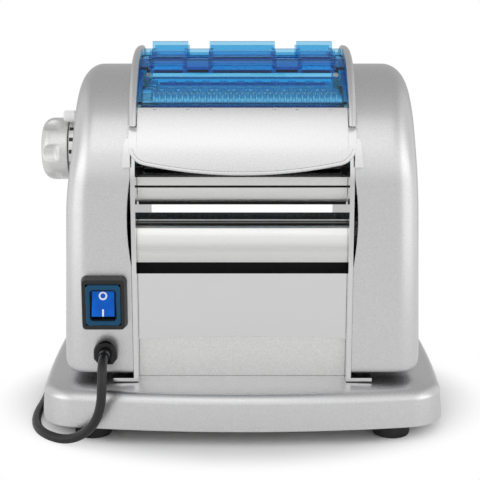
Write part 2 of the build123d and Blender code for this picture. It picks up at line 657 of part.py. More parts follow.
def gear_face(centre, teeth, module, phase, addendum=0.9, dedendum=1.25, share=0.42):
    """Spur gear outline with straight-sided teeth; share is tooth thickness over pitch."""
    pitch_radius = teeth * module / 2
    tip, root = pitch_radius + addendum * module, pitch_radius - dedendum * module
    step = 360 / teeth
    root_half = step * min(share + 0.2, 0.85) / 2
    tip_half = step * max(share - 0.22, 0.1) / 2
    points = []
    for tooth in range(teeth):
        middle = phase + tooth * step
        for radius, angle in ((root, -root_half), (tip, -tip_half), (tip, tip_half), (root, root_half)):
            points.append(polar(centre, radius, middle + angle))
    return make_face(Polyline(*points, close=True))


ROLL = (FRONT_ROLL_Y, ROLL_Z)
BIG = polar(ROLL, DRIVE_MODULE * (ROLL_TEETH + BIG_TEETH) / 2, BIG_ANGLE)
PINION = polar(BIG, DRIVE_MODULE * (BIG_TEETH + PINION_TEETH) / 2, PINION_ANGLE)
IDLER = meet(ROLL, DRIVE_REACH, (REAR_CUT_IN, CUT_Z), DRIVE_MODULE * CUTTER_GEAR_TEETH)
ROLL_PHASE = 0.0
BIG_PHASE = mesh_phase(BIG_ANGLE, ROLL_TEETH, ROLL_PHASE, BIG_TEETH)
PINION_PHASE = mesh_phase(PINION_ANGLE, BIG_TEETH, BIG_PHASE, PINION_TEETH)
FRONT_CUT_PHASE = mesh_phase(heading(ROLL, (FRONT_CUT_IN, CUT_Z)), ROLL_TEETH, ROLL_PHASE, CUTTER_GEAR_TEETH)
IDLER_PHASE = mesh_phase(heading(ROLL, IDLER), ROLL_TEETH, ROLL_PHASE, CUTTER_GEAR_TEETH)
REAR_CUT_PHASE = mesh_phase(heading(IDLER, (REAR_CUT_IN, CUT_Z)), CUTTER_GEAR_TEETH, IDLER_PHASE,
                            CUTTER_GEAR_TEETH)


def drive_gear(centre, teeth, phase, bore):
    """A gear of the right-hand train."""
    wheel = side_slab(gear_face(centre, teeth, DRIVE_MODULE, phase), GEAR_X, GEAR_X + GEAR_WIDTH)
    return wheel - rod_x(bore, GEAR_X - 1, GEAR_X + GEAR_WIDTH + 1, *centre)


def make_roller(y):
    """A smooth sheet roller with its two journals."""
    barrel = rod_x(ROLL_RADIUS, -ROLL_HALF, ROLL_HALF, y, ROLL_Z)
    barrel = chamfer(barrel.edges().filter_by(GeomType.CIRCLE), 0.6)
    return barrel


def make_front_roller():
    end = GEAR_X + GEAR_WIDTH
    return make_roller(FRONT_ROLL_Y) + rod_x(JOURNAL, -end, end, FRONT_ROLL_Y, ROLL_Z)


def make_rear_roller():
    end = GEAR_X + GEAR_WIDTH
    return make_roller(REAR_ROLL_Y) + rod_x(JOURNAL, -end, FRAME_OUT + 1, REAR_ROLL_Y, ROLL_Z)


def long_gear(y, phase):
    """One of the two long-tooth gears that keep the rollers in step while their gap changes."""
    face = gear_face((y, ROLL_Z), LONG_TEETH, LONG_MODULE, phase, addendum=0.85, dedendum=1.6, share=0.34)
    wheel = side_slab(face, -GEAR_X - GEAR_WIDTH, -GEAR_X)
    return wheel - rod_x(JOURNAL, -GEAR_X - GEAR_WIDTH - 1, -GEAR_X + 1, y, ROLL_Z)


def make_cutter(y, pitch, shift, phase, long_end):
    """A cutter roller: discs at an even pitch on one core, with the gear that pairs it cut at its left end.

    shift moves the discs half a pitch along, so that those of one roller run in the grooves of the other.
    """
    gear_end = -CUT_HALF + PAIR_GEAR_WIDTH
    first = gear_end + PAIR_GEAR_GAP
    core = rod_x(CUT_CORE, first, CUT_HALF, y, CUT_Z)
    right = GEAR_X + GEAR_WIDTH if long_end else FRAME_OUT - FIT
    roller = core + rod_x(CUT_JOURNAL, -FRAME_OUT + FIT, right, y, CUT_Z)
    gear = gear_face((y, CUT_Z), CUT_TEETH, CUT_MODULE, phase, addendum=0.8)
    roller += side_slab(gear, -CUT_HALF, gear_end)
    width = pitch / 2 - 2 * CUT_SIDE_PLAY
    count = int((CUT_HALF - first) / pitch)
    disc = RegularPolygon(CUT_RADIUS, DISC_FACETS)
    discs = []
    for place in range(count):
        low = first + place * pitch + shift * pitch / 2 + CUT_SIDE_PLAY
        if low + width <= CUT_HALF:
            discs.append(extrude(Plane.YZ.offset(low) * Pos(y, CUT_Z) * disc, width))
    return roller + discs


def make_bushes():
    """Plain bushes pressed into both frames."""
    bushes = []
    for side in (-1, 1):
        for y, z, radius in bush_places():
            bore = (JOURNAL if z == ROLL_Z else CUT_JOURNAL) + RUNNING
            sleeve = rod_x(radius, side * (FRAME_IN - 1.5), side * FRAME_OUT, y, z)
            bushes.append(sleeve - rod_x(bore, side * (FRAME_IN - 3), side * (FRAME_OUT + 3), y, z))
    return Compound(bushes)


def make_combs():
    """A scraper strip close under each cutter roller, between the frames."""
    bars = []
    top = CUT_Z - CUT_RADIUS - 0.9
    for y in (FRONT_CUT_OUT, FRONT_CUT_IN, REAR_CUT_IN, REAR_CUT_OUT):
        bars.append(block(-FRAME_IN, FRAME_IN, y - 1, y + 1, top - 6, top))
    return Compound(bars)


def make_gear_axles():
    """Fixed axles of the idler and the big gear, with a head each, set in the right frame."""
    axles = []
    for centre in (BIG, IDLER):
        pin = rod_x(AXLE_RADIUS, FRAME_IN, GEAR_X + GEAR_WIDTH + 0.6, *centre)
        head = rod_x(AXLE_RADIUS + 2, GEAR_X + GEAR_WIDTH + 0.6, GEAR_X + GEAR_WIDTH + 2, *centre)
        axles.append(pin + head)
    return Compound(axles)


def make_roller_scrapers():
    """A scraper strip fixed under each sheet roller."""
    low, top = ROLL_Z - ROLL_RADIUS - 7, ROLL_Z - ROLL_RADIUS - 0.6
    front = block(-FRAME_IN, FRAME_IN, FRONT_ROLL_Y - 1.5, FRONT_ROLL_Y, low, top)
    rear = block(-FRAME_IN, FRAME_IN, REAR_ROLL_Y, REAR_ROLL_Y + 1.5, low, top)
    return Compound([front, rear])


# ---- thickness adjustment ------------------------------------------------------------------------
ECCENTRICITY = ROLL_TRAVEL / 2 / math.sin(math.radians(KNOB_TURN / 2))
YOKE_X0 = GEAR_X + GEAR_WIDTH + 4
YOKE_X1 = YOKE_X0 + 6


def make_carrier_left():
    """Bearing block of the moving roller, with an arm over the gear to the yoke of the eccentric."""
    y0, y1 = REAR_ROLL_Y - BLOCK_HALF, REAR_ROLL_Y + BLOCK_HALF
    z0, z1 = ROLL_Z - BLOCK_HALF, ROLL_Z + BLOCK_HALF
    arm_low = ROLL_Z + LONG_TEETH * LONG_MODULE / 2 + 2.5
    inner = block(-FRAME_OUT - 1.2, -FRAME_IN - 0.4, y0, y1, z0, z1)
    upright = block(-FRAME_OUT - 2.2, -FRAME_OUT - FIT - 0.1, y0, y1, z0, arm_low + 4)
    arm = block(-YOKE_X1, -FRAME_OUT - FIT - 0.1, y0, y1, arm_low, arm_low + 4)
    yoke = block(-YOKE_X1, -YOKE_X0, y0, y1, z0 - 4, arm_low + 4)
    window_half = ECCENTRIC_RADIUS + YOKE_PLAY
    window = block(-YOKE_X1 - 1, -YOKE_X0 + 1, REAR_ROLL_Y - window_half, REAR_ROLL_Y + window_half,
                   ROLL_Z - window_half - 2, ROLL_Z + window_half + 2)
    carrier = inner + upright + arm + yoke - window
    return carrier - rod_x(JOURNAL + RUNNING, -FRAME_OUT - 4, -FRAME_IN + 1, REAR_ROLL_Y, ROLL_Z)


def make_carrier_right():
    y0, y1 = REAR_ROLL_Y - BLOCK_HALF, REAR_ROLL_Y + BLOCK_HALF
    z0, z1 = ROLL_Z - BLOCK_HALF, ROLL_Z + BLOCK_HALF
    carrier = block(FRAME_IN + 0.4, FRAME_OUT + 1.8, y0, y1, z0, z1)
    return carrier - rod_x(JOURNAL + RUNNING, FRAME_IN - 1, FRAME_OUT + 3, REAR_ROLL_Y, ROLL_Z)


KNOB_AXIS_Y = REAR_ROLL_Y - ROLL_TRAVEL / 2


def make_knob_shaft():
    """Shaft of the knob; its eccentric disc pushes the yoke as it turns."""
    shaft = rod_x(KNOB_SHAFT, KNOB_FACE_X + 6, -YOKE_X0 + 1, KNOB_AXIS_Y, ROLL_Z)
    rest = math.radians(90 - KNOB_TURN / 2)
    disc_y = KNOB_AXIS_Y + ECCENTRICITY * math.cos(rest)
    disc_z = ROLL_Z + ECCENTRICITY * math.sin(rest)
    return shaft + rod_x(ECCENTRIC_RADIUS, -YOKE_X1 + 0.3, -YOKE_X0 - 0.3, disc_y, disc_z)


def make_knob():
    """Fluted knob with a domed face."""
    face = Pos(KNOB_AXIS_Y, ROLL_Z) * Circle(KNOB_RADIUS)
    reach = KNOB_RADIUS + KNOB_FLUTE_RADIUS * 0.62
    for flute in range(KNOB_FLUTES):
        y, z = polar((KNOB_AXIS_Y, ROLL_Z), reach, 180 + flute * 360 / KNOB_FLUTES)
        face -= Pos(y, z) * Circle(KNOB_FLUTE_RADIUS)
    grip = side_slab(face, KNOB_FACE_X, KNOB_FACE_X + KNOB_LENGTH - KNOB_COLLAR)
    front, back = KNOB_FACE_X, KNOB_FACE_X + KNOB_LENGTH
    round_x, round_y = front + KNOB_DOME + KNOB_ROUND, KNOB_RADIUS - KNOB_ROUND
    slant = KNOB_ROUND * math.sqrt(0.5)
    blank = make_face([
        Line((front, 0), (front + KNOB_DOME, round_y)),
        ThreePointArc((front + KNOB_DOME, round_y), (round_x - slant, round_y + slant), (round_x, KNOB_RADIUS)),
        Line((round_x, KNOB_RADIUS), (back, KNOB_RADIUS)),
        Line((back, KNOB_RADIUS), (back, 0)),
        Line((back, 0), (front, 0)),
    ])
    turned = revolve(Plane.XY.offset(0) * blank, Axis.X)
    turned = Pos(0, KNOB_AXIS_Y, ROLL_Z) * turned
    collar = rod_x(KNOB_RADIUS, back - KNOB_COLLAR, back, KNOB_AXIS_Y, ROLL_Z)
    knob = (grip & turned) + collar
    return knob - rod_x(KNOB_SHAFT, front + 6, back + 1, KNOB_AXIS_Y, ROLL_Z)


def make_dial():
    """Fixed ring behind the knob, on the housing, for its index marks."""
    face_x = housing_face_x(ROLL_Z)
    ring_x0, ring_x1 = -face_x - DIAL_T, -face_x + DIAL_T
    plate = rod_x(KNOB_RADIUS, ring_x0, ring_x1, KNOB_AXIS_Y, ROLL_Z)
    plate -= mirror(inside_of_face(0), Plane.YZ)
    return plate - rod_x(KNOB_SHAFT + RUNNING, ring_x0 - 1, ring_x1 + 1, KNOB_AXIS_Y, ROLL_Z)


def make_peg():
    """Push peg that locks the knob."""
    face_x = housing_face_x(PEG_Z)
    peg = rod_x(PEG_RADIUS, PEG_END_X, -face_x - 0.6 - PEG_TRAVEL, PEG_Y, PEG_Z)
    peg = fillet(peg.edges().group_by(Axis.X)[0], 1.2)
    return peg + rod_x(PEG_RADIUS - 1, PEG_END_X + 3, -face_x + PEG_STEM, PEG_Y, PEG_Z)


# ---- front and rear plates -----------------------------------------------------------------------
def plate_half():
    return FRAME_IN - FIT


def make_lower_panel():
    half = plate_half()
    return block(-half, half, -PANEL_Y, -PANEL_Y + SHEET_T, BASE_TOP + FIT, PANEL_TOP + 3)


def make_front_plate():
    """Polished plate whose lower edge rises a little in the middle, with a lip folded in at the top."""
    half = plate_half()
    outline = make_face([
        Line((-half, PLATE_TOP), (half, PLATE_TOP)),
        Line((half, PLATE_TOP), (half, PANEL_TOP)),
        ThreePointArc((half, PANEL_TOP), (0, PANEL_TOP + PLATE_ARC), (-half, PANEL_TOP)),
        Line((-half, PANEL_TOP), (-half, PLATE_TOP)),
    ])
    plate = front_slab(outline, -PLATE_Y, -PLATE_Y + SHEET_T)
    return plate + block(-half, half, -PLATE_Y, -VENT_Y, PLATE_TOP - SHEET_T, PLATE_TOP)


def make_front_cover():
    """Bowed cover under the outlet; the ribbons slide over its top edge."""
    half = plate_half()
    middle = (COVER_LOW + COVER_TOP) / 2
    y = COVER_Y
    back = y - SHEET_T
    outer = ThreePointArc((-y, COVER_LOW), (-y - COVER_BOW, middle), (-y, COVER_TOP))
    inner = ThreePointArc((-back, COVER_TOP), (-back - COVER_BOW, middle), (-back, COVER_LOW))
    section = make_face([
        outer, Line((-y, COVER_TOP), (-back, COVER_TOP)), inner, Line((-back, COVER_LOW), (-y, COVER_LOW)),
    ])
    return side_slab(section, -half, half)


def make_vent_strip():
    """Black slotted strip in the gap under the bowed cover."""
    half = plate_half()
    strip = block(-half, half, -VENT_Y, -VENT_Y + 1.5, PLATE_TOP - 6, COVER_TOP - 3)
    return strip


def make_tray():
    """Inner tray: level at the front, sloping to the rear opening behind the ridge."""
    half = plate_half()
    t = SHEET_T
    front, rear = -COVER_Y + SHEET_T + FIT, COVER_Y
    section = make_face(Polyline(
        (front, COVER_TOP - t), (TRAY_RIDGE_Y, COVER_TOP - t), (rear, SILL_TOP - t),
        (rear, SILL_TOP), (TRAY_RIDGE_Y, COVER_TOP), (front, COVER_TOP), close=True))
    return side_slab(section, -half, half)


def make_scraper_bar(front):
    """Folded strip above the outlet: an upright band over one that turns inwards."""
    half, t = plate_half(), SHEET_T
    y = -SCRAPER_Y
    section = make_face(Polyline(
        (y, SCRAPER_TOP), (y, SCRAPER_FOLD), (y + SCRAPER_TILT, SCRAPER_LOW),
        (y + SCRAPER_TILT + t, SCRAPER_LOW), (y + t, SCRAPER_FOLD), (y + t, SCRAPER_TOP - t),
        (y + SCRAPER_BACK, SCRAPER_TOP - t),
        (y + SCRAPER_BACK, SCRAPER_TOP), close=True))
    bar = side_slab(section, -half, half)
    return bar if front else mirror(bar, Plane.XZ)


def make_rear_plate():
    """One plain panel closes the back below the rear opening."""
    half = plate_half()
    return block(-half, half, COVER_Y + FIT, COVER_Y + FIT + SHEET_T, BASE_TOP + FIT, SILL_TOP)


def make_tie_rods():
    rods = []
    for y, z in tie_places():
        rod = rod_x(TIE_RADIUS, -FRAME_IN, FRAME_IN, y, z)
        for side in (-1, 1):
            rod -= rod_x(SCREW_RADIUS, side * (FRAME_IN - TIE_SCREW), side * (FRAME_IN + 1), y, z)
        rods.append(rod)
    return Compound(rods)


# ---- motor ---------------------------------------------------------------------------------------
MOTOR_RADIUS = 27.0
MOTOR_Y = 0.0
MOTOR_Z = 80.0
MOTOR_X0 = -48.0
MOTOR_X1 = 30.0
GEARBOX_HALF_Y = 32.0
GEARBOX_ABOVE = 12.0        # how far the gearbox reaches above its shaft
SHAFT_IN = 22.0             # how far the output shaft reaches into the gearbox
SADDLE_HALF = 30.0


def make_motor():
    body = rod_x(MOTOR_RADIUS, MOTOR_X0, MOTOR_X1, MOTOR_Y, MOTOR_Z)
    body = fillet(body.edges().filter_by(GeomType.CIRCLE), 3)
    return body + rod_x(9, MOTOR_X0 - 6, MOTOR_X0, MOTOR_Y, MOTOR_Z)


def make_gearbox():
    box = block(MOTOR_X1, FRAME_IN - 0.3, PINION[0] - GEARBOX_HALF_Y, PINION[0] + GEARBOX_HALF_Y,
                MOTOR_Z - MOTOR_RADIUS, PINION[1] + GEARBOX_ABOVE)
    box = fillet(box.edges().filter_by(Axis.X), 5)
    return box - rod_x(AXLE_RADIUS + RUNNING, FRAME_IN - SHAFT_IN - 2, FRAME_IN, *PINION)


def make_pinion():
    """Motor pinion, in one with the output shaft of the gearbox."""
    face = gear_face(PINION, PINION_TEETH, DRIVE_MODULE, PINION_PHASE)
    wheel = side_slab(face, GEAR_X, GEAR_X + GEAR_WIDTH)
    return wheel + rod_x(AXLE_RADIUS, FRAME_IN - SHAFT_IN, GEAR_X + GEAR_WIDTH + 2, *PINION)


def make_motor_saddle():
    """Bent steel saddle that carries the motor on the base."""
    saddle = block(MOTOR_X0 + 6, MOTOR_X1 - 10, MOTOR_Y - SADDLE_HALF, MOTOR_Y + SADDLE_HALF,
                   BASE_TOP, MOTOR_Z - 8)
    saddle -= rod_x(MOTOR_RADIUS + FIT, MOTOR_X0, MOTOR_X1, MOTOR_Y, MOTOR_Z)
    return saddle


# ---- switch and gland ----------------------------------------------------------------------------
def make_switch_boot():
    """Tapered soft frame round the switch."""
    front = -ARCH_RADIUS - BOOT_DEPTH
    plan = Pos(SWITCH_X, SWITCH_Z) * RectangleRounded(BOOT_WIDTH, BOOT_HEIGHT, 4)
    boot = extrude(Plane.XZ.offset(ARCH_RADIUS) * plan, BOOT_DEPTH, taper=BOOT_TAPER)
    w, h = BEZEL_WIDTH / 2 + FIT, BEZEL_HEIGHT / 2 + FIT
    return boot - block(SWITCH_X - w, SWITCH_X + w, front - 1, -ARCH_RADIUS + 1, SWITCH_Z - h, SWITCH_Z + h)


def make_switch_bezel():
    front = -ARCH_RADIUS - BOOT_DEPTH - BEZEL_PROUD
    w, h = BEZEL_WIDTH / 2, BEZEL_HEIGHT / 2
    bezel = block(SWITCH_X - w, SWITCH_X + w, front, -ARCH_RADIUS, SWITCH_Z - h, SWITCH_Z + h)
    bezel = chamfer(bezel.faces().sort_by(Axis.Y)[0].edges(), 1.8)
    play = 0.3
    rw, rh = ROCKER_WIDTH / 2 + play, ROCKER_HEIGHT / 2 + play
    hole = block(SWITCH_X - rw, SWITCH_X + rw, front - 1, -ARCH_RADIUS + 1, SWITCH_Z - rh, SWITCH_Z + rh)
    return bezel - hole


def rocker_pivot_y():
    return -ARCH_RADIUS - BOOT_DEPTH - BEZEL_PROUD + ROCKER_HEIGHT / 2 - 1.0


def make_rocker():
    """Rocker: a round-backed key whose face is a shallow V; drawn as (Y, Z) about its pivot."""
    y = rocker_pivot_y()
    half = ROCKER_HEIGHT / 2 - 0.5
    reach = ROCKER_HEIGHT / 2
    face = Pos(y, SWITCH_Z) * Circle(half)
    wings = make_face(Polyline(
        (y, SWITCH_Z - half), (y - reach + 1.6, SWITCH_Z - half * 0.93), (y - reach + 2.6, SWITCH_Z),
        (y - reach + 1.6, SWITCH_Z + half * 0.93), (y, SWITCH_Z + half), close=True))
    key = side_slab((face + wings) & (Pos(y - 4, SWITCH_Z) * Rectangle(2 * half, 3 * half)),
                    SWITCH_X - ROCKER_WIDTH / 2, SWITCH_X + ROCKER_WIDTH / 2)
    pivot = Axis((SWITCH_X, y, SWITCH_Z), (1, 0, 0))
    return key.rotate(pivot, -ROCKER_SWING / 2)


def make_switch_body():
    w, h = BEZEL_WIDTH / 2 - 2, BEZEL_HEIGHT / 2 - 2
    return block(SWITCH_X - w, SWITCH_X + w, -ARCH_RADIUS + 6.5, -ARCH_RADIUS + 26,
                 SWITCH_Z - h, SWITCH_Z + h)


def make_gland():
    """Flanged gland with the tapered sleeve that the cord leaves through."""
    face = -ARCH_RADIUS - 5
    gland = rod_y(GLAND_RADIUS, GLAND_X, face, -ARCH_RADIUS, GLAND_Z)
    gland = fillet(gland.edges().group_by(Axis.Y)[0], 1.5)
    sleeve = Pos(GLAND_X, face, GLAND_Z) * Rot(90, 0, 0) * Cone(
        6.2, CORD_RADIUS + 1.0, GLAND_LENGTH - 2, align=(Align.CENTER, Align.CENTER, Align.MIN))
    neck = rod_y(CORD_RADIUS + 2, GLAND_X, -ARCH_RADIUS, -ARCH_RADIUS + 6, GLAND_Z)
    return gland + sleeve + neck


def arc_radii(points):
    """The radius at each corner of a route: an arc that takes up a set share of its shorter run."""
    radii = []
    for before, here, after in zip(points, points[1:], points[2:]):
        run_in, run_out = Vector(here) - Vector(before), Vector(after) - Vector(here)
        half_turn = math.radians(run_in.get_angle(run_out)) / 2
        radii.append(ARC_SHARE * min(run_in.length, run_out.length) / math.tan(half_turn))
    return radii


def cord_tube(points):
    """A round tube along straight runs joined by tangent arcs."""
    radii = arc_radii(points)
    print("cord radii", [round(radius, 1) for radius in radii])
    path = FilletPolyline(*points, radius=radii)
    tube = sweep(Plane(origin=path @ 0, z_dir=path % 0) * Circle(CORD_RADIUS), path=path)
    print("cord length", round(path.length, 1), "volume ratio",
          round(tube.volume / (math.pi * CORD_RADIUS**2 * path.length), 4))
    return tube


def make_coil():
    """Outer shape of the wound-up part of the cord, lying on the table."""
    section = Pos(COIL_MEAN, COIL_HEIGHT / 2) * RectangleRounded(COIL_WIDTH, COIL_HEIGHT, CORD_RADIUS)
    coil = revolve(Plane.XZ * section, Axis.Z)
    return Pos(COIL_X, COIL_Y, 0) * coil


def make_tie():
    """Strap over the coil, open below."""
    x0, x1 = COIL_X + COIL_MEAN - COIL_WIDTH / 2 - 1, COIL_X + COIL_MEAN + COIL_WIDTH / 2 + 1
    y0, y1, top = COIL_Y - TIE_WIDTH / 2, COIL_Y + TIE_WIDTH / 2, COIL_HEIGHT + 0.1
    outside = block(x0 - TIE_T, x1 + TIE_T, y0, y1, 0, top + TIE_T)
    return outside - block(x0, x1, y0 - 1, y1 + 1, -1, top)


def make_plug():
    """Two-pin plug lying on its side."""
    face = PLUG_X + PLUG_TAPER
    taper = Pos(PLUG_X, PLUG_Y, PLUG_RADIUS) * Rot(0, 90, 0) * Cone(
        CORD_RADIUS + 1.2, 8, PLUG_TAPER, align=(Align.CENTER, Align.CENTER, Align.MIN))
    body = rod_x(PLUG_RADIUS, face, face + PLUG_BODY, PLUG_Y, PLUG_RADIUS)
    body = fillet(body.edges().filter_by(GeomType.CIRCLE).group_by(Axis.X)[0], 8)
    plug = taper + body
    for side in (-1, 1):
        y = PLUG_Y + side * PLUG_PIN_SPACING / 2
        plug += rod_x(PLUG_PIN, face + PLUG_BODY, face + PLUG_BODY + PLUG_PIN_LENGTH, y, PLUG_RADIUS)
    return plug


def make_peg_spring():
    """Spring of the lock peg, inside the housing."""
    x0 = -housing_face_x(PEG_Z) + HOUSING_WALL
    spring = rod_x(PEG_RADIUS + 1.5, x0 + 0.5, x0 + 8, PEG_Y, PEG_Z)
    return spring - rod_x(PEG_RADIUS - 0.6, x0 - 1, x0 + 9, PEG_Y, PEG_Z)


def main():
    save(make_base(), "base")
    save(make_base_plate(), "base_plate")
    save(make_feet(), "feet")
    save(make_screws(), "screws")
    save(make_frame(-1), "left_frame")
    save(make_frame(1), "right_frame")
    save(make_housing(-1), "left_housing")
    save(make_housing(1), "right_housing")
    save(make_rim(-1), "left_rim")
    save(make_rim(1), "right_rim")
    apron = make_apron()
    save(apron, "front_apron")
    save(mirror(apron, Plane.XZ), "rear_apron")
    save(make_guard(), "guard")
    save(make_front_roller(), "front_roller")
    save(make_rear_roller(), "rear_roller")
    save(drive_gear(ROLL, ROLL_TEETH, ROLL_PHASE, JOURNAL), "roller_gear")
    save(drive_gear(BIG, BIG_TEETH, BIG_PHASE, AXLE_RADIUS + RUNNING), "big_gear")
    save(drive_gear(IDLER, CUTTER_GEAR_TEETH, IDLER_PHASE, AXLE_RADIUS + RUNNING), "idler_gear")
    save(make_gear_axles(), "gear_axles")
    save(make_pinion(), "motor_pinion")
    for y, phase, node in ((FRONT_CUT_IN, FRONT_CUT_PHASE, "front_cutter_gear"),
                           (REAR_CUT_IN, REAR_CUT_PHASE, "rear_cutter_gear")):
        save(drive_gear((y, CUT_Z), CUTTER_GEAR_TEETH, phase, CUT_JOURNAL), node)
    long_phase = 0.0
    save(long_gear(FRONT_ROLL_Y, long_phase), "front_long_gear")
    save(long_gear(REAR_ROLL_Y, mesh_phase(0, LONG_TEETH, long_phase, LONG_TEETH)), "rear_long_gear")
    mate = mesh_phase(0, CUT_TEETH, 0, CUT_TEETH)
    save(make_cutter(FRONT_CUT_OUT, FINE_PITCH, 0, 0, False), "fine_cutter_front")
    save(make_cutter(FRONT_CUT_IN, FINE_PITCH, 1, mate, True), "fine_cutter_rear")
    save(make_cutter(REAR_CUT_IN, WIDE_PITCH, 0, 0, True), "wide_cutter_front")
    save(make_cutter(REAR_CUT_OUT, WIDE_PITCH, 1, mate, False), "wide_cutter_rear")
    save(make_bushes(), "bushes")
    save(make_combs(), "cutter_combs")
    save(make_roller_scrapers(), "roller_scrapers")
    save(make_carrier_left(), "left_carrier")
    save(make_carrier_right(), "right_carrier")
    save(make_knob_shaft(), "knob_shaft")
    save(make_knob(), "thickness_knob")
    save(make_dial(), "knob_dial")
    save(make_peg(), "lock_peg")
    save(make_peg_spring(), "peg_spring")
    save(make_lower_panel(), "lower_panel")
    save(make_front_plate(), "front_plate")
    save(make_front_cover(), "front_cover")
    save(make_vent_strip(), "vent_strip")
    save(make_tray(), "tray")
    save(make_scraper_bar(True), "front_scraper_bar")
    save(make_scraper_bar(False), "rear_scraper_bar")
    save(make_rear_plate(), "rear_plate")
    save(make_tie_rods(), "tie_rods")
    save(make_motor(), "motor")
    save(make_gearbox(), "gearbox")
    save(make_motor_saddle(), "motor_saddle")
    save(make_switch_boot(), "switch_boot")
    save(make_switch_bezel(), "switch_bezel")
    save(make_rocker(), "rocker")
    save(make_switch_body(), "switch_body")
    save(make_gland(), "cord_gland")
    save(cord_tube(CORD_POINTS), "cord")
    save(cord_tube(TAIL_POINTS), "cord_tail")
    save(make_coil(), "cord_coil")
    save(make_tie(), "cord_tie")
    save(make_plug(), "plug")


main()
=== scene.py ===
"""Electric pasta maker on a pale floor: finishes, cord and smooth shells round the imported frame. Metres."""
import json
import math
import bpy
import numpy as np
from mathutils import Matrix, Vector


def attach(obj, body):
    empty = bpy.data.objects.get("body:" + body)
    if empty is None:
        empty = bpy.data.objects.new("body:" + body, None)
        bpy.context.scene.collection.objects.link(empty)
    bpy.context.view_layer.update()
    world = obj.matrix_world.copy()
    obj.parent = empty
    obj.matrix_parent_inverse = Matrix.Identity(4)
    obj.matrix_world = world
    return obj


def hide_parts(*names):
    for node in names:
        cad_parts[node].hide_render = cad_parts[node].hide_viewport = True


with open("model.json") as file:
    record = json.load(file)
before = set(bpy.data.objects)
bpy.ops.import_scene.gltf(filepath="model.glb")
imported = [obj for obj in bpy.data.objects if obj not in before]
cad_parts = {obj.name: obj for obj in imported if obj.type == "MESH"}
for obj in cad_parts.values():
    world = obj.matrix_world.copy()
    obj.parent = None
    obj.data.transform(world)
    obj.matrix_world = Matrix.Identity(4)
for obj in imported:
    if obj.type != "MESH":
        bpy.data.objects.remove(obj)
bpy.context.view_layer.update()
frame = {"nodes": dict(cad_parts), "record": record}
nodes = frame["nodes"]
MM = 0.001

# ---- sizes, in millimetres -----------------------------------------------------------------------
# Most are the frame's own; where a piece is drawn clearly different from it, a comment says so.
ARCH_Z = 181.0              # centre of the half-round top
ARCH_RADIUS = 78.0
ROLL_Z = 196.0
HOUSING_X = 126.0           # outer face half way up
HOUSING_MIDDLE_Z = 131.0
HOUSING_LEAN = 1.9          # degrees, towards the rollers
HOUSING_INNER_X = 77.8
HOUSING_EDGE = 19.0
HOUSING_BOTTOM = 44.3
HOUSING_FOOT_EDGE = 7.0     # rounding along the lower edge
HOUSING_CORNER = 5.0
HOUSING_WALL = 2.6
HOUSING_BREAK = 0.35        # broken edge beside the steel frame
HOUSING_FLAT = (80.0, 104.0)    # X range of the part before the rounding
SHOULDER_Z = 160.0          # above it the outer face is drawn leaning in further
SHOULDER_RISE = 55.0
SHOULDER_IN = {-1: 3.6, 1: 1.4}     # by how much, on the left and on the right
CRESCENT_Z = 155.0
CRESCENT_LENGTH = 64.0
CRESCENT_WIDTH = 2.8
CRESCENT_END_X = 84.0
BASE_WIDTH = 294.0
BASE_DEPTH = 208.0
BASE_CORNER = 29.0
BASE_BOW_SIDE = 3.0
BASE_BOW_FRONT = 13.5
BASE_BOTTOM = 10.5
BASE_TOP = 39.5
BASE_DRAFT = 4.0            # lean of the wall, degrees
BASE_ROUND = 8.0
BASE_CROWN = 9.0            # slope of the crown, degrees
BASE_CROWN_Z = 37.0
BASE_WALL = 3.0
RIM_RADIUS = 91.5
RIM_INNER_X = 73.0
RIM_OUTER_X = 78.8
RIM_EDGE = 4.5
RIM_INNER_EDGE = ((0.7, 0.0), (0.2, 0.2), (0.0, 0.7))   # points of the small inner edge, along X and down
RIM_END_Z = 223.5
LEDGE_X = 70.6
RAIL_LOW = 78.15            # inner radius of the rims
LEDGE_TOP = 80.15
APRON_RADIUS = 85.5
APRON_T = 1.5
APRON_TOP_Z = 234.5
APRON_LIP_Z = 190.4         # lowest point of the lip, in the middle
APRON_LIP_RISE = 9.2
APRON_CORNER = 14.0
APRON_HALF = 78.4
APRON_NARROW = 72.6         # half width between the rims
APRON_STEP_Z = 222.0
APRON_NOTCHES = (22.0, 38.0, 60.7)
NOTCH_WIDTH = 2.5
NOTCH_DEPTH = 1.2
BEAD_END_Z = 208.0
BEAD_SECTION = [            # distance in from the edge, height over the sheet
    (-0.02, 0.1 - APRON_T), (-0.02, 0.7), (0.35, 1.1), (0.8, 1.2), (1.8, 1.2), (2.25, 1.1), (2.6, 0.6),
    (2.6, -0.3)]
TURN_IN_Y = 57.5
TURN_IN_HALF = 70.2
TURN_IN_RISE = 2.4
TURN_IN_T = 1.0
EAR_LOW_Z = 195.6
EAR_HEIGHT = 19.4
EAR_IN_X = 77.2
EAR_OUT_X = 82.9
EAR_SLANT = 1.9
EAR_TIP = 1.2               # how much its tip draws in, over the last part of its height
EAR_TIP_FROM = 0.86
EAR_RADII = (85.0, 82.6)    # its front and back
GUARD_RADIUS = 84.6
GUARD_T = 2.2
GUARD_FOOT = 80.35
GUARD_WALL_X = 70.1         # inner face of the side walls
GUARD_END_Z = 236.4         # the ends are drawn this low, to just above the aprons
GUARD_FAN_Y = 44.0          # from here its layers fan out, so that they end on one level
SHADED_TINT_Z = (243.0, 249.0)     # painted shade: the guard's tint is painted deeper between these levels, from the cutters' top upwards
GUARD_CUTS_X = (0, 10, 21.2, 22.6, 24, 32, 39.7, 41.1, 42.5, 50, 58, 63.2, 64.6, 66, 68, GUARD_WALL_X, 72.5)
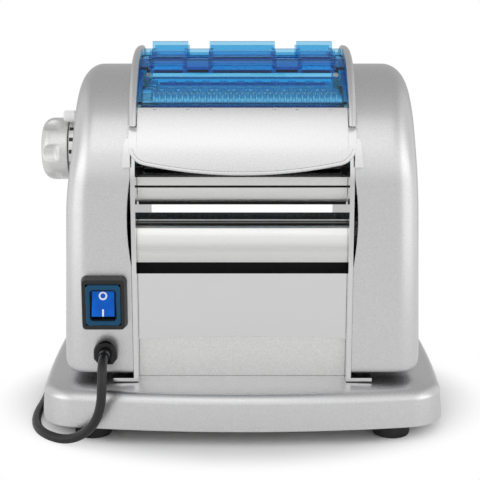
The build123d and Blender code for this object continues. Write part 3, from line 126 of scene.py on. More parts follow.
GUARD_CUTS_Y = (
    -60.2, -57.2, -54.2, -51.7, -48.9, -46, -43, -40.5, -38, -35.4, -33.5, -32.1, -29.4, -28, -26.6, -24,
    -21.3, -18.5, -15.5, -12.5, -9.5, -6.9, -5.5, -4.1, -1.4, 0, 1.4, 4.1, 6.8, 9.5, 12.5, 15.5, 18.5, 21.1,
    22.5, 23.9, 26.6, 28, 29.4, 32.5, 36, 39.5, 43, 46.5, 50.5, 54, 57.2, 60.2)
FEED_SLOTS = ((-43.0, -35.4), (-18.5, -9.5), (9.5, 18.5))
SLOT_HALF = 68.0
RIDGE_Y = 28.0
RIDGE_T = 2.8
RIDGE_LOW = 5.0             # height of a ridge above the shell
RIDGE_STEP = 5.0            # how much higher its tall teeth stand
RIDGE_SHIFT = 5.5           # how far its low parts stand in front of the tall ones
TALL_MIDDLE = 24.0          # half length of the middle tooth
TALL_SIDE = (39.7, 66.0)
FRONT_BAR_Y = 50.3
FRONT_BAR_HALF = 58.0
FRONT_BAR_RISE = 2.9
FRONT_BAR_REACH = -45.0     # grid lines before this one have the front bar's height
COVER_LOW = 125.3           # drawn 0.8 mm short at the foot and 1.8 mm at the top
COVER_TOP = 151.2
COVER_Y = 66.0
COVER_BOW = 5.2
COVER_FULL = 0.7            # share of the height, from above, at which it is fullest
COVER_POWER = 2.2
COVER_FOOT_IN = 0.25        # how far its foot draws back, as a share of the bow
COVER_EDGE = 2.4
COVER_DEPTH = 2.68          # from the unbowed face to the back
PLATE_HALF = 74.35
TRAY_LIP = (-60.6, -59.6, 153.3, 154.3)     # Y and Z ranges of the strip along the tray's front edge
BAND_TOP = 184.8
BAND_Y = -60.0
BAND_BACK_Y = -51.0
BAND_CORNER_Z = 179.2
BAND_ROUND = 0.8
BAND_T = 1.2
BOWED_TOP = 177.2
BOWED_HEIGHT = 11.0
BOWED_Y = -59.6
BOWED_IN = 3.6              # how far the lower band draws in, with a power of the height
BOWED_POWER = 1.8
# Y and Z ranges of two matt black strips, painted shade in the groove between the outlet bands and under the
# lower one
GROOVE_SHADE = (-58.6, -57.9, 180.0, 176.0)
UNDER_BAND_SHADE = (-56.2, -55.4, 166.8, 164.3)
ROLL_RADIUS = 14.0
ROLL_HALF = 71.5
ROLL_CHAMFER = 0.6
FRONT_ROLL_Y = -29.25
REAR_ROLL_Y = 1.25
JOURNAL = 6.0
JOURNAL_CHAMFER = 0.4
SHORT_END = 77.55           # where a shaft ends in its bush
DRIVEN_END = 88.7           # where it ends in its gear
REAR_ROLL_END = 78.7
CUT_Z = 234.998
CUT_NIP_FRONT = -38.0
CUT_NIP_REAR = 14.0
CUT_PITCH = 16.8            # between the axes of a pair
FINE_PITCH = 4.0
WIDE_PITCH = 13.0
CUT_SIDE_PLAY = 0.1
CUT_FIRST = -63.0
CUT_LAST = 70.0
CUT_CORE = 6.2              # drawn thinner, so that the discs show through the guard
CUT_JOURNAL = 3.5
CUT_RADIUS = 8.7
CUT_EDGE = (0.25, 0.3)      # width and height of a disc's broken edge
PAIR_GEAR = (-70.0, -64.0)
PAIR_TEETH = 12
PAIR_RADII = (9.52, 6.65)   # tip and root
PAIR_ANGLES = (3.0, 9.3)    # half a tooth at its tip, and where the root starts, degrees
KNOB_RADIUS = 23.0
KNOB_FACE_X = -149.5
KNOB_LENGTH = 21.0
KNOB_DOME = ((0.0, 0.35, 0.65), (0.01, 5.0, 10.0))      # X and radius of its low dome
KNOB_DOME_DEPTH = 1.0
KNOB_ROUND = 8.5
KNOB_BREAK = 0.4
KNOB_Y = 0.05
KNOB_FLUTES = 6
FLUTE_RADIUS = 9.0
FLUTE_REACH = 28.58         # the flutes' axes stand this far from the knob's
FLUTE_FADE = (10.5, 5.0)    # where a flute starts to ease out, and over what length
DIAL_X = (-127.6, -119.4)
DIAL_BORE = 5.4
INDEX_BARS = ((47.0, 4.2), (25.0, 3.4), (2.5, 2.5), (-20.0, 1.0))   # degrees above the middle, length
INDEX_HALF = 3.6            # degrees
INDEX_START = 0.5           # from the ring's front
INDEX_SUNK, INDEX_PROUD = 0.3, 0.06
PEG_Y = -12.0
PEG_Z = 221.8
PEG_TIP_X = -131.4          # drawn 1.6 mm shorter
PEG_ROUND = 1.6
PEG_NOSE = 2.55             # radius of its flat tip
PEG_BARREL = 4.25
PEG_SHAFT = 3.25
PEG_BARREL_X = -123.2
PEG_SHAFT_X = -111.0
FOOT_PLACE = (107.7, 77.0)
CORD_RADIUS = 3.35


# ---- materials -----------------------------------------------------------------------------------
def linear(hex_code):
    """The linear colour of an sRGB hex code such as 'c8c8c8'."""
    channels = np.array([int(hex_code[i:i + 2], 16) / 255 for i in (0, 2, 4)])
    low, high = channels / 12.92, ((channels + 0.055) / 1.055) ** 2.4
    return (*np.where(channels <= 0.04045, low, high).tolist(), 1.0)


def add(tree, kind, links=None, **settings):
    """Adds a node; links maps its inputs to other nodes' outputs, settings are attributes or input values."""
    made = tree.nodes.new(kind)
    for name, value in settings.items():
        if hasattr(made, name):
            setattr(made, name, value)
    for name, value in (links or {}).items():
        socket = made.inputs[name]
        if isinstance(value, bpy.types.NodeSocket):
            tree.links.new(value, socket)
        else:
            socket.default_value = value
    return made


def new_material(name, hex_code, **values):
    """A named material with one Principled shader; values are its inputs."""
    material = bpy.data.materials.new(name)
    material.use_nodes = True
    shader = material.node_tree.nodes["Principled BSDF"]
    shader.inputs["Base Color"].default_value = linear(hex_code)
    for key, value in values.items():
        shader.inputs[key.replace("_", " ")].default_value = value
    return material, material.node_tree, shader


def coordinates(tree, scale=(1, 1, 1)):
    place = add(tree, "ShaderNodeTexCoord").outputs["Object"]
    return add(tree, "ShaderNodeMapping", {"Vector": place, "Scale": scale}).outputs["Vector"]


def grain(tree, size_mm, detail=2.0, stretch=(1, 1, 1)):
    """Noise whose grains are about size_mm across, and longer along an axis with a stretch below 1."""
    per_metre = 1000 / size_mm
    vector = coordinates(tree, tuple(per_metre * s for s in stretch))
    return add(tree, "ShaderNodeTexNoise", {"Vector": vector, "Scale": 1.0, "Detail": detail}).outputs["Fac"]


def ramp(tree, value, *stops):
    """A colour ramp with stops of (position, hex)."""
    made = add(tree, "ShaderNodeValToRGB", {"Fac": value})
    elements = made.color_ramp.elements
    while len(elements) < len(stops):
        elements.new(0.5)
    for element, (position, hex_code) in zip(elements, stops):
        element.position = position
        element.color = linear(hex_code)
    return made.outputs["Color"]


def patterned(made, noise, rough=None, tones=None, at=(0.3, 0.7), relief=None):
    """Lays one noise, given as grain's size, detail and stretch, over a new material and returns it.

    Roughness runs between two values and colour between two tones while the noise runs over the range in at;
    relief is a bump's strength and its depth in millimetres.
    """
    material, tree, shader = made
    fine = grain(tree, *noise)
    if rough:
        share = add(tree, "ShaderNodeMapRange", {
            "Value": fine, "From Min": at[0], "From Max": at[1], "To Min": rough[0], "To Max": rough[1]})
        tree.links.new(share.outputs["Result"], shader.inputs["Roughness"])
    if tones:
        tree.links.new(ramp(tree, fine, *zip(at, tones)), shader.inputs["Base Color"])
    if relief:
        strength, depth_mm = relief
        bump = add(tree, "ShaderNodeBump", {"Height": fine, "Strength": strength, "Distance": depth_mm * MM})
        tree.links.new(bump.outputs["Normal"], shader.inputs["Normal"])
    return material


# Real grains, pores and tool marks are a tenth of a millimetre or less, which doesn't show from the camera's
# distance; all are drawn 0.6 to 1.2 mm coarse.
ALONG_X = (0.02, 1, 1)      # stretch of brush and buffing marks
ROUND_X = (1, 0.08, 0.08)   # stretch of tool marks on parts turned about X


def silver_paint():
    """Metallic paint on die-cast aluminium: flakes under a satin clear coat, drawn 0.8 mm coarse to show."""
    paint = new_material("silver_metallic_paint", "d4d4d5", Metallic=1.0, Roughness=0.3)
    patterned(paint, (1.1,), rough=(0.27, 0.34))
    return patterned(paint, (0.8, 3.0), tones=("cececf", "dadadb"), relief=(0.03, 0.03))


def polished_steel():
    """Stainless sheet, mirror polished: a faint haze from the buffing mop and streaks along X."""
    steel = new_material("polished_stainless_steel", "dcdcdc", Metallic=1.0, Roughness=0.08)
    return patterned(steel, (0.8, 2.0, ALONG_X), rough=(0.06, 0.12), relief=(0.04, 0.02))


def apron_steel():
    """Stainless sheet with a fine bead-blasted grain, drawn 0.7 mm coarse to show: a broad soft highlight."""
    steel = new_material("blasted_stainless_steel", "dedede", Metallic=1.0, Roughness=0.28)
    return patterned(steel, (0.7, 3.0), rough=(0.24, 0.33), tones=("d8d8d8", "e4e4e4"), relief=(0.04, 0.02))


def cover_steel():
    """Satin stainless sheet of the bowed cover: a fine brush mark along X, drawn 0.7 mm coarse to show."""
    steel = new_material("satin_stainless_steel", "dededc", Metallic=0.95, Roughness=0.22)
    return patterned(steel, (0.7, 2.0, ALONG_X), rough=(0.18, 0.28), relief=(0.04, 0.02))


def roller_steel():
    """Ground and hard-chromed steel of the sheet rollers: bright, with grinding marks round the barrel."""
    steel = new_material("hard_chromed_steel", "dadada", Metallic=1.0, Roughness=0.16)
    return patterned(steel, (0.7, 2.0, (1, 0.05, 0.05)), rough=(0.12, 0.2))


def cutter_steel():
    """Bright turned steel of the cutters: fine tool marks round the discs."""
    steel = new_material("bright_turned_steel", "dcdfe0", Metallic=1.0, Roughness=0.22)
    return patterned(steel, (0.7, 2.0, ROUND_X), rough=(0.18, 0.28))


def gland_nylon():
    """Glossy black polyamide of the cord clamp, as it leaves a polished mould."""
    nylon = new_material("glossy_black_nylon", "0c0b0a", Roughness=0.2, Specular_IOR_Level=0.35)
    return patterned(nylon, (2,), rough=(0.12, 0.22))


def peg_plastic():
    """White POM of the push peg: waxy and smooth."""
    return patterned(new_material("white_pom", "f2f2f2", Roughness=0.3), (3, 1.0), tones=("eeeeee", "f6f6f6"))


def black_tray_and_shade():
    """Black glossy sheet of the inner tray; its black is partly painted shade, for the dark inside under the
    rollers.
    """
    return patterned(new_material("black_enamel_and_shade", "0b0b0b", Roughness=0.1), (3,), rough=(0.08, 0.14))


def black_and_gap_shade():
    """Matt black: the vent strip's black plastic, and painted shade in gaps and grooves; hardly any sheen."""
    lacquer = new_material("matt_black_and_gap_shade", "090909", Roughness=0.6, Specular_IOR_Level=0.2)
    return patterned(lacquer, (0.9,), rough=(0.5, 0.7))


def black_ink():
    """Black pad-printed ink of the index bars."""
    ink = new_material("black_print_ink", "141414", Roughness=0.5)
    return patterned(ink, (0.8,), tones=("101010", "1c1c1c"))


def satin_panel():
    """Satin steel of the lower panels with a fine grain, drawn 0.9 mm coarse to show."""
    steel = new_material("grained_satin_steel", "e3e3e2", Metallic=0.9, Roughness=0.34)
    return patterned(steel, (0.9, 3.0), tones=("dadad9", "ececeb"), relief=(0.15, 0.05))


def machined_steel():
    """Turned and milled steel: tool marks round the axis, here duller and there brighter."""
    steel = new_material("machined_steel", "b4b4b2", Metallic=1.0, Roughness=0.3)
    return patterned(steel, (0.7, 2.0, ROUND_X), rough=(0.24, 0.4))


def bronze():
    """Sintered bronze: porous, oily and dull."""
    metal = new_material("sintered_bronze", "a9824e", Metallic=1.0, Roughness=0.45)
    return patterned(metal, (0.6, 3.0), tones=("8a6a3e", "b78f58"), at=(0.35, 0.65))


def blue_guard():
    """Transparent blue SAN, injection moulded: clear and glossy; its tint is partly painted shade.

    The tint is painted deeper blue where a point lies on the shell's own radius and above the level of the
    cutters, as painted shade for the dark inside seen through the shell; the ridges keep the pale tint. Both
    limits are soft.
    """
    plastic = new_material("clear_blue_plastic", "d4eefb", Roughness=0.0, IOR=1.5, Transmission_Weight=1.0,
                           Specular_IOR_Level=0.15)
    material, tree, shader = plastic
    patterned(plastic, (14, 1.0), rough=(0.0, 0.012))
    place_mm = coordinates(tree, (0, 1000, 1000))
    from_axis = add(tree, "ShaderNodeVectorMath", {0: place_mm, 1: (0, 0, ARCH_Z)}, operation="SUBTRACT")
    radius = add(tree, "ShaderNodeVectorMath", {0: from_axis.outputs["Vector"]}, operation="LENGTH")
    on_shell = add(tree, "ShaderNodeMapRange", {
        "Value": radius.outputs["Value"], "From Min": GUARD_RADIUS + 0.2, "From Max": GUARD_RADIUS + 1.0,
        "To Min": 1.0, "To Max": 0.0})
    height = add(tree, "ShaderNodeSeparateXYZ", {"Vector": place_mm}).outputs["Z"]
    above = add(tree, "ShaderNodeMapRange", {"Value": height, "From Min": SHADED_TINT_Z[0], "From Max": SHADED_TINT_Z[1]})
    # painted shade: 1 on the shell above the cutters, where the tint is painted deeper blue for the dark
    # inside
    deep = add(tree, "ShaderNodeMath", {
        0: on_shell.outputs["Result"], 1: above.outputs["Result"]}, operation="MULTIPLY")
    tree.links.new(ramp(tree, deep.outputs[0], (0.0, "d4eefb"), (1.0, "30c8f4")), shader.inputs["Base Color"])
    dye = add(tree, "ShaderNodeVolumeAbsorption", {"Color": linear("00d2ee"), "Density": 300.0})
    tree.links.new(dye.outputs[0], tree.nodes["Material Output"].inputs["Volume"])
    return material


def teal_bezel():
    """Glossy teal ABS of the switch frame."""
    plastic = new_material("teal_abs", "00486c", Roughness=0.24, Specular_IOR_Level=0.3)
    return patterned(plastic, (0.7,), rough=(0.16, 0.26))


def blue_rocker():
    """Blue polycarbonate key of a lit switch: saturated, with a slow change of depth over the key."""
    plastic = new_material("blue_polycarbonate", "005fce", Roughness=0.25, Specular_IOR_Level=0.15)
    return patterned(plastic, (9, 1.0), tones=("0056c0", "006ad8"))


def moulded_black():
    """Black polyamide with a spark-eroded mould texture, drawn 0.8 mm coarse to show."""
    nylon = new_material("black_moulded_nylon", "121212", Roughness=0.45)
    return patterned(nylon, (0.8, 3.0), rough=(0.38, 0.55), relief=(0.25, 0.06))


def cord_sheath():
    """Extruded black PVC of the mains cord: a soft, slightly uneven gloss."""
    return patterned(new_material("black_pvc_sheath", "161617", Roughness=0.36), (2.5,), rough=(0.3, 0.44))


def foot_rubber():
    """Black nitrile rubber, dull and slightly dusty."""
    rubber = new_material("black_nitrile_rubber", "1c1c1c", Roughness=0.7)
    return patterned(rubber, (1.2, 3.0), tones=("161616", "262626"), relief=(0.2, 0.08))


def knob_plastic():
    """Silver-painted ABS of the knob: satin, with a fine grain."""
    plastic = new_material("silver_painted_abs", "dbdbda", Metallic=0.7, Roughness=0.34)
    return patterned(plastic, (0.8,), tones=("d2d2d1", "e4e4e3"), relief=(0.1, 0.04))


def white_print():
    """White pad-printed ink."""
    ink = new_material("white_print_ink", "f2f4f6", Roughness=0.5)
    return patterned(ink, (0.8,), tones=("e8eaee", "fafcff"))


finishes = {
    "painted": silver_paint(),
    "chrome": polished_steel(),
    "grained_silver": satin_panel(),
    "steel": machined_steel(),
    "bronze": bronze(),
    "blue_clear": blue_guard(),
    "blue_bezel": teal_bezel(),
    "blue_rocker": blue_rocker(),
    "black_plastic": moulded_black(),
    "cord_black": cord_sheath(),
    "rubber": foot_rubber(),
    "silver_plastic": knob_plastic(),
    "print": white_print(),
    "apron": apron_steel(),
    "cover": cover_steel(),
    "roller": roller_steel(),
    "peg": peg_plastic(),
    "black_print": black_ink(),
    "cutter": cutter_steel(),
    "gland": gland_nylon(),
    "black_tray_and_shade": black_tray_and_shade(),
    "black_and_gap_shade": black_and_gap_shade(),
}


def dress(obj, finish):
    obj.data.materials.clear()
    obj.data.materials.append(finishes[finish])


for entry in frame["record"]["subparts"]:
    dress(nodes[entry["node"]], entry["material_slot"])
# painted shade: the tray is drawn black, partly for the shade inside the machine under the rollers
dress(nodes["tray"], "black_tray_and_shade")
# the vent strip's black plastic, drawn a deeper matt black: partly painted shade of the slot between cover and
# plate
dress(nodes["vent_strip"], "black_and_gap_shade")


# ---- mesh helpers --------------------------------------------------------------------------------
def mesh_piece(name, points, faces, finish, smooth=True):
    """A mesh object from points in millimetres."""
    mesh = bpy.data.meshes.new(name)
    mesh.from_pydata((np.asarray(points) * MM).tolist(), [], faces)
    mesh.polygons.foreach_set("use_smooth", [smooth] * len(mesh.polygons))
    piece = bpy.data.objects.new(name, mesh)
    bpy.context.scene.collection.objects.link(piece)
    mesh.materials.append(finishes[finish])
    return piece


def ring_faces(rings, closed=False):
    """Quads between rings that follow each other; the stack closes on itself, or it gets a cap at each end.

    The faces are turned round where the volume they enclose comes out negative, so they look outwards.
    """
    stack, around = rings.shape[:2]
    index = np.arange(stack * around).reshape(stack, around)
    if closed:
        index = np.concatenate([index, index[:1]])
    beside = np.roll(index, -1, axis=1)
    quads = np.stack([index[:-1], beside[:-1], beside[1:], index[1:]], -1).reshape(-1, 4)
    points = rings.reshape(-1, 3)
    middle = points.mean(axis=0)
    a, b, c, d = (points[quads[:, corner]] for corner in range(4))
    volume = np.einsum("ij,ij->", (a + c) / 2 - middle, np.cross(c - a, d - b))
    faces = quads.tolist()
    if not closed:
        for ring, sign in ((rings[0], -1), (rings[-1], 1)):
            area = np.cross(ring - middle, np.roll(ring, -1, axis=0) - middle).sum(axis=0)
            volume += sign * np.dot(ring.mean(axis=0) - middle, area)
        faces += [index[0][::-1].tolist(), index[-1].tolist()]
    return [face[::-1] for face in faces] if volume < 0 else faces


def skin(name, solids, finish, sharp=32, closed=False):
    """One mesh from several stacks of rings, smooth up to an edge angle in degrees."""
    points, faces, first = [], [], 0
    for rings in solids:
        rings = np.asarray(rings, dtype=float)
        points.append(rings.reshape(-1, 3))
        faces += [[first + corner for corner in face] for face in ring_faces(rings, closed)]
        first += len(points[-1])
    piece = mesh_piece(name, np.concatenate(points), faces, finish)
    piece.data.set_sharp_from_angle(angle=math.radians(sharp))
    return piece


def soften(piece, width_mm):
    """Breaks the edges of a piece with a small bevel."""
    bevel = piece.modifiers.new("edges", "BEVEL")
    bevel.width = width_mm * MM
    bevel.segments = 2
    bevel.limit_method = "ANGLE"
    bevel.angle_limit = math.radians(40)
    bevel.harden_normals = True
    return piece


def place(piece, body, slot, *stands_for):
    """Puts a piece on a body and takes away the nodes that it stands for; slot is not used."""
    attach(piece, body)
    if stands_for:
        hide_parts(*stands_for)
    return piece


def turned(profile, y, z, around=72):
    """Rings about an axis along X: profile gives (X, radius) pairs."""
    x, radius = np.asarray(profile, dtype=float).T
    angle = np.linspace(0, 2 * math.pi, around, endpoint=False)
    return np.stack([
        np.broadcast_to(x[:, None], (len(x), around)),
        y + radius[:, None] * np.cos(angle),
        z + radius[:, None] * np.sin(angle)], -1)


def upright(profile, x, y, around=72):
    """Rings about an upright axis: profile gives (Z, radius) pairs."""
    rings = turned(profile, y, 0.0, around)
    return np.stack([rings[..., 2] + x, rings[..., 1], rings[..., 0]], -1)


def along_x(section, half):
    """A section of (Y, Z) points carried from one side to the other."""
    y, z = np.asarray(section, dtype=float).T
    return np.stack([np.stack([np.full(len(y), x), y, z], -1) for x in (-half, half)])


def strip(front, back, first, last):
    """Section of a straight strip between two Y and two Z values."""
    return [(front, first), (front, last), (back, last), (back, first)]


def mirrored(rings, axis):
    flip = np.ones(3)
    flip[axis] = -1
    return rings * flip


# ---- camera --------------------------------------------------------------------------------------
FOCAL_PIXELS = 1232.6
IMAGE_PIXELS = 480
CAMERA_ELEVATION = 13.0
CAMERA_DISTANCE = 880.0
CAMERA_TARGET = (-1.7, -60.0, 139.2)


def make_camera():
    data = bpy.data.cameras.new("camera")
    camera = bpy.data.objects.new("camera", data)
    bpy.context.scene.collection.objects.link(camera)
    data.sensor_width = 36.0
    data.lens = FOCAL_PIXELS * data.sensor_width / IMAGE_PIXELS
    data.clip_end = 20.0
    tilt = math.radians(CAMERA_ELEVATION)
    x, y, z = CAMERA_TARGET
    camera.location = (x * MM, (y - CAMERA_DISTANCE * math.cos(tilt)) * MM,
                       (z + CAMERA_DISTANCE * math.sin(tilt)) * MM)
    camera.rotation_euler = (math.radians(90) - tilt, 0, 0)
    bpy.context.scene.camera = camera


make_camera()

# ---- cord ----------------------------------------------------------------------------------------
CORD_ROUTE = [
    (-97, -97, 63.5), (-97, -106, 62), (-97, -112, 51), (-97.5, -113, 35), (-102, -112, 21), (-112, -108, 10),
    (-125, -101, 3.6), (-140, -91, 3.4), (-150, -74, 3.4), (-153.5, -48, 3.4), (-151, -16, 3.4),
    (-153, 22, 3.4), (-152, 64, 3.4), (-142, 100, 3.4), (-112, 118.5, 3.4), (-78, 122, 3.4),
]
TAIL_ROUTE = [(-66, 122, 10.2), (-44, 121, 10.8), (-28, 122.5, 15), (-14, 124, 19)]
COIL_MIDDLE = (-70.0, 158.0)
COIL_FROM = -103.0          # direction in which the cord comes to the coil, degrees
COIL_STOPS = [              # radius and Z at the start of each turn, and at the end of the last one
    (36.5, 3.4), (32.0, 3.4), (39.5, 3.4), (35.5, 9.9), (28.9, 9.9), (40.0, 10.3)]
COIL_STEPS = 14             # points of the spline in each turn


def coil_route():
    """Turns of the put-away length: a circle per turn whose radius and height ease into the next turn's."""
    points = []
    for (r0, z0), (r1, z1) in zip(COIL_STOPS, COIL_STOPS[1:]):
        for step in range(COIL_STEPS):
            share = step / COIL_STEPS
            ease = share * share * (3 - 2 * share)
            angle = math.radians(COIL_FROM) + 2 * math.pi * share
            radius = r0 + (r1 - r0) * ease
            x, y = COIL_MIDDLE
            points.append((x + radius * math.cos(angle), y + radius * math.sin(angle), z0 + (z1 - z0) * ease))
    return points


def make_cord():
    curve = bpy.data.curves.new("mains_cord", "CURVE")
    curve.dimensions = "3D"
    curve.bevel_depth = CORD_RADIUS * MM
    curve.bevel_resolution = 5
    curve.use_fill_caps = True
    route = CORD_ROUTE[:-1] + coil_route() + TAIL_ROUTE
    spline = curve.splines.new("NURBS")
    spline.points.add(len(route) - 1)
    for point, spot in zip(spline.points, route):
        point.co = (*(v * MM for v in spot), 1)
    spline.order_u = 3
    spline.use_endpoint_u = True
    spline.resolution_u = 6
    cord = bpy.data.objects.new("mains_cord", curve)
    bpy.context.scene.collection.objects.link(cord)
    curve.materials.append(finishes["cord_black"])
    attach(cord, "machine")
    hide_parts("cord", "cord_tail", "cord_coil")
    return cord


cord = make_cord()


# ---- base ----------------------------------------------------------------------------------------
def base_ring(inset):
    """Plan outline: wide arcs at front and back, flatter ones at the sides, corner arcs tangent to both.

    A corner's centre lies where circles of (side radius - corner radius) about the arcs' centres meet.
    """
    half_x, half_y = BASE_WIDTH / 2 - inset, BASE_DEPTH / 2 - inset
    corner = max(BASE_CORNER - inset, BASE_CORNER / 4)
    end_x, end_y = half_x - BASE_BOW_SIDE, half_y - BASE_BOW_FRONT
    front_r = (end_x**2 + BASE_BOW_FRONT**2) / (2 * BASE_BOW_FRONT)
    side_r = (end_y**2 + BASE_BOW_SIDE**2) / (2 * BASE_BOW_SIDE)
    front_y, side_x = half_y - front_r, half_x - side_r
    ra, rb = front_r - corner, side_r - corner
    span = math.hypot(side_x, front_y)
    t = (ra**2 - rb**2 + span**2) / (2 * span)
    off = math.sqrt(ra**2 - t**2)
    ux, uy = side_x / span, -front_y / span
    meets = [(t * ux - side * off * uy, front_y + t * uy + side * off * ux) for side in (1, -1)]
    cx, cy = max(meets, key=sum)
    a0 = math.atan2(cy - front_y, cx)
    a1 = math.atan2(cy, cx - side_x)
    front = np.linspace(math.pi / 2, a0, 40, endpoint=False)
    bend = np.linspace(a0, a1, 14, endpoint=False)
    side = np.linspace(a1, 0, 20)
    x = np.concatenate([front_r * np.cos(front), cx + corner * np.cos(bend), side_x + side_r * np.cos(side)])
    y = np.concatenate([front_y + front_r * np.sin(front), cy + corner * np.sin(bend), side_r * np.sin(side)])
    x = np.concatenate([x, x[-2::-1], -x[1:], -x[-2:0:-1]])
    y = np.concatenate([y, -y[-2::-1], -y[1:], y[-2:0:-1]])
    return x, y


def base_levels(skin_in, bottom):
    """(inset, height) pairs: a leaning wall, a quarter-round shoulder and a crown of even slope."""
    draft, crown = math.radians(BASE_DRAFT), math.radians(90 - BASE_CROWN)
    centre_z = BASE_CROWN_Z - BASE_ROUND * math.sin(crown)
    wall_top = centre_z + BASE_ROUND * math.sin(draft)
    centre_in = (wall_top - BASE_BOTTOM) * math.tan(draft) + BASE_ROUND * math.cos(draft)
    angle = np.linspace(draft, crown, 14)
    reach = BASE_ROUND - skin_in
    shoulder = list(zip(centre_in - reach * np.cos(angle), centre_z + reach * np.sin(angle)))
    inset, z = shoulder[-1]
    top = BASE_TOP - skin_in
    end = inset + (top - z) * math.tan(crown)
    return [(skin_in, bottom), *shoulder, ((inset + end) / 2, (z + top) / 2), (end, top)]


def make_base():
    """Closed shell from the hollow's crown down its wall, round the broken lower edge and up the outside."""
    lower_edge = [(0.5, BASE_BOTTOM), (0.12, BASE_BOTTOM + 0.4)]
    levels = base_levels(BASE_WALL, BASE_BOTTOM)[::-1] + lower_edge + base_levels(0.0, BASE_BOTTOM)[1:]
    rings = []
    for inset, z in levels:
        x, y = base_ring(inset)
        rings.append(np.stack([x, y, np.full(len(x), z)], -1))
    place(skin("base_casting", [np.stack(rings)], "painted"), "machine", "painted", "base")


# ---- end housings --------------------------------------------------------------------------------
def arch_ring(radius, bottom, corner):
    """Straight legs under a half circle with round lower corners, as arrays of Y and Z."""
    low = np.linspace(-(radius - corner), radius - corner, 10)
    right = np.linspace(-math.pi / 2, 0, 7)[1:]
    leg = np.linspace(bottom + corner, ARCH_Z, 40)[1:-1]
    top = np.linspace(0, math.pi, 97)
    left = np.linspace(math.pi, 1.5 * math.pi, 7)[:-1]
    y = np.concatenate([low, radius - corner + corner * np.cos(right), np.full(len(leg), radius),
                        radius * np.cos(top), np.full(len(leg), -radius),
                        -(radius - corner) + corner * np.cos(left)])
    z = np.concatenate([np.full(len(low), bottom), bottom + corner + corner * np.sin(right), leg,
                        ARCH_Z + radius * np.sin(top), leg[::-1], bottom + corner + corner * np.sin(left)])
    return y, z


def edge_inset(x, rounding, end):
    """How far a quarter round that ends at X = end has drawn in at X."""
    into = max(x - (end - rounding), 0.0)
    return rounding - math.sqrt(max(rounding**2 - into**2, 0.0))


def make_housing(side):
    """Closed shell: hollow side, rim and outside are one row of arch outlines along X, leaned by scaling X.

    Beside the frame the front leg draws back along a parabola, the crescent; above the shoulder the outer
    face draws in by a smooth step.
    """
    edge_in, edge_out = (1 - np.sin(np.radians(np.linspace(0, 90, count))) for count in (10, 16))
    inner_edge = HOUSING_X - HOUSING_WALL - (HOUSING_EDGE - HOUSING_WALL) * edge_in
    outer = np.concatenate([np.linspace(*HOUSING_FLAT, 6), HOUSING_X - HOUSING_EDGE * edge_out])
    rows = [(x, HOUSING_WALL) for x in (*inner_edge[::-1], HOUSING_INNER_X)]
    rows += [(HOUSING_INNER_X, HOUSING_BREAK), (HOUSING_INNER_X + HOUSING_BREAK, 0.0)]
    rows += [(x, 0.0) for x in outer]
    rings = []
    for x, deep in rows:
        wall = HOUSING_WALL if deep == HOUSING_WALL else 0.0
        wide = edge_inset(x, HOUSING_EDGE - wall, HOUSING_X - wall)
        foot = edge_inset(x, HOUSING_FOOT_EDGE - wall, HOUSING_X - wall)
        y, z = arch_ring(ARCH_RADIUS - deep - wide, HOUSING_BOTTOM + deep + foot,
                         max(HOUSING_CORNER - deep, 1.0) + 0.7 * foot)
        lens = CRESCENT_WIDTH * np.clip(1 - ((z - CRESCENT_Z) / (CRESCENT_LENGTH / 2)) ** 2, 0, None)
        lens *= (y < -ARCH_RADIUS + HOUSING_WALL + 1) * (x < CRESCENT_END_X)
        face = HOUSING_X - (z - HOUSING_MIDDLE_Z) * math.tan(math.radians(HOUSING_LEAN))
        rise = np.clip((z - SHOULDER_Z) / SHOULDER_RISE, 0, 1)
        face = face - SHOULDER_IN[side] * rise**2 * (3 - 2 * rise)
        lean = (face - HOUSING_INNER_X) / (HOUSING_X - HOUSING_INNER_X)
        rings.append(np.stack([side * (HOUSING_INNER_X + (x - HOUSING_INNER_X) * lean + lens), y, z], -1))
    name, node = ("left_end_housing", "left_housing") if side < 0 else ("right_end_housing", "right_housing")
    place(skin(name, [np.stack(rings)], "painted", 40), "machine", "painted", node)


# ---- hood ----------------------------------------------------------------------------------------
def make_rim(side):
    """A rounded rail section carried round the arch; each of its points stops on the end level."""
    bend = np.linspace(0, math.pi / 2, 8)
    rounding = np.stack([RIM_OUTER_X - RIM_EDGE + RIM_EDGE * np.cos(bend),
                         RIM_RADIUS - RIM_EDGE + RIM_EDGE * np.sin(bend)], -1)
    inner_edge = [(RIM_INNER_X + along, RIM_RADIUS - down) for along, down in RIM_INNER_EDGE]
    section = np.concatenate([[(LEDGE_X, RAIL_LOW), (RIM_OUTER_X, RAIL_LOW)], rounding, inner_edge,
                              [(RIM_INNER_X, LEDGE_TOP), (LEDGE_X, LEDGE_TOP)]])
    x, radius = section.T
    stop = np.arcsin((RIM_END_Z - ARCH_Z) / radius)
    share = np.linspace(-1, 1, 97)[:, None]
    angle = math.pi / 2 + share * (math.pi / 2 - stop)
    across = np.broadcast_to(side * x, angle.shape)
    rings = np.stack([across, radius * np.cos(angle), ARCH_Z + radius * np.sin(angle)], -1)
    name, node = ("left_rail", "left_rim") if side < 0 else ("right_rail", "right_rim")
    place(soften(skin(name, [rings], "painted"), 0.25), "machine", "painted", node)


EDGE_ARC = (APRON_HALF**2 + APRON_LIP_RISE**2) / (2 * APRON_LIP_RISE)
EDGE_CENTRE_Z = APRON_LIP_Z + EDGE_ARC
CORNER_X = APRON_HALF - APRON_CORNER
CORNER_Z = EDGE_CENTRE_Z - math.sqrt((EDGE_ARC - APRON_CORNER) ** 2 - CORNER_X**2)
CORNER_FROM = CORNER_X * EDGE_ARC / (EDGE_ARC - APRON_CORNER)


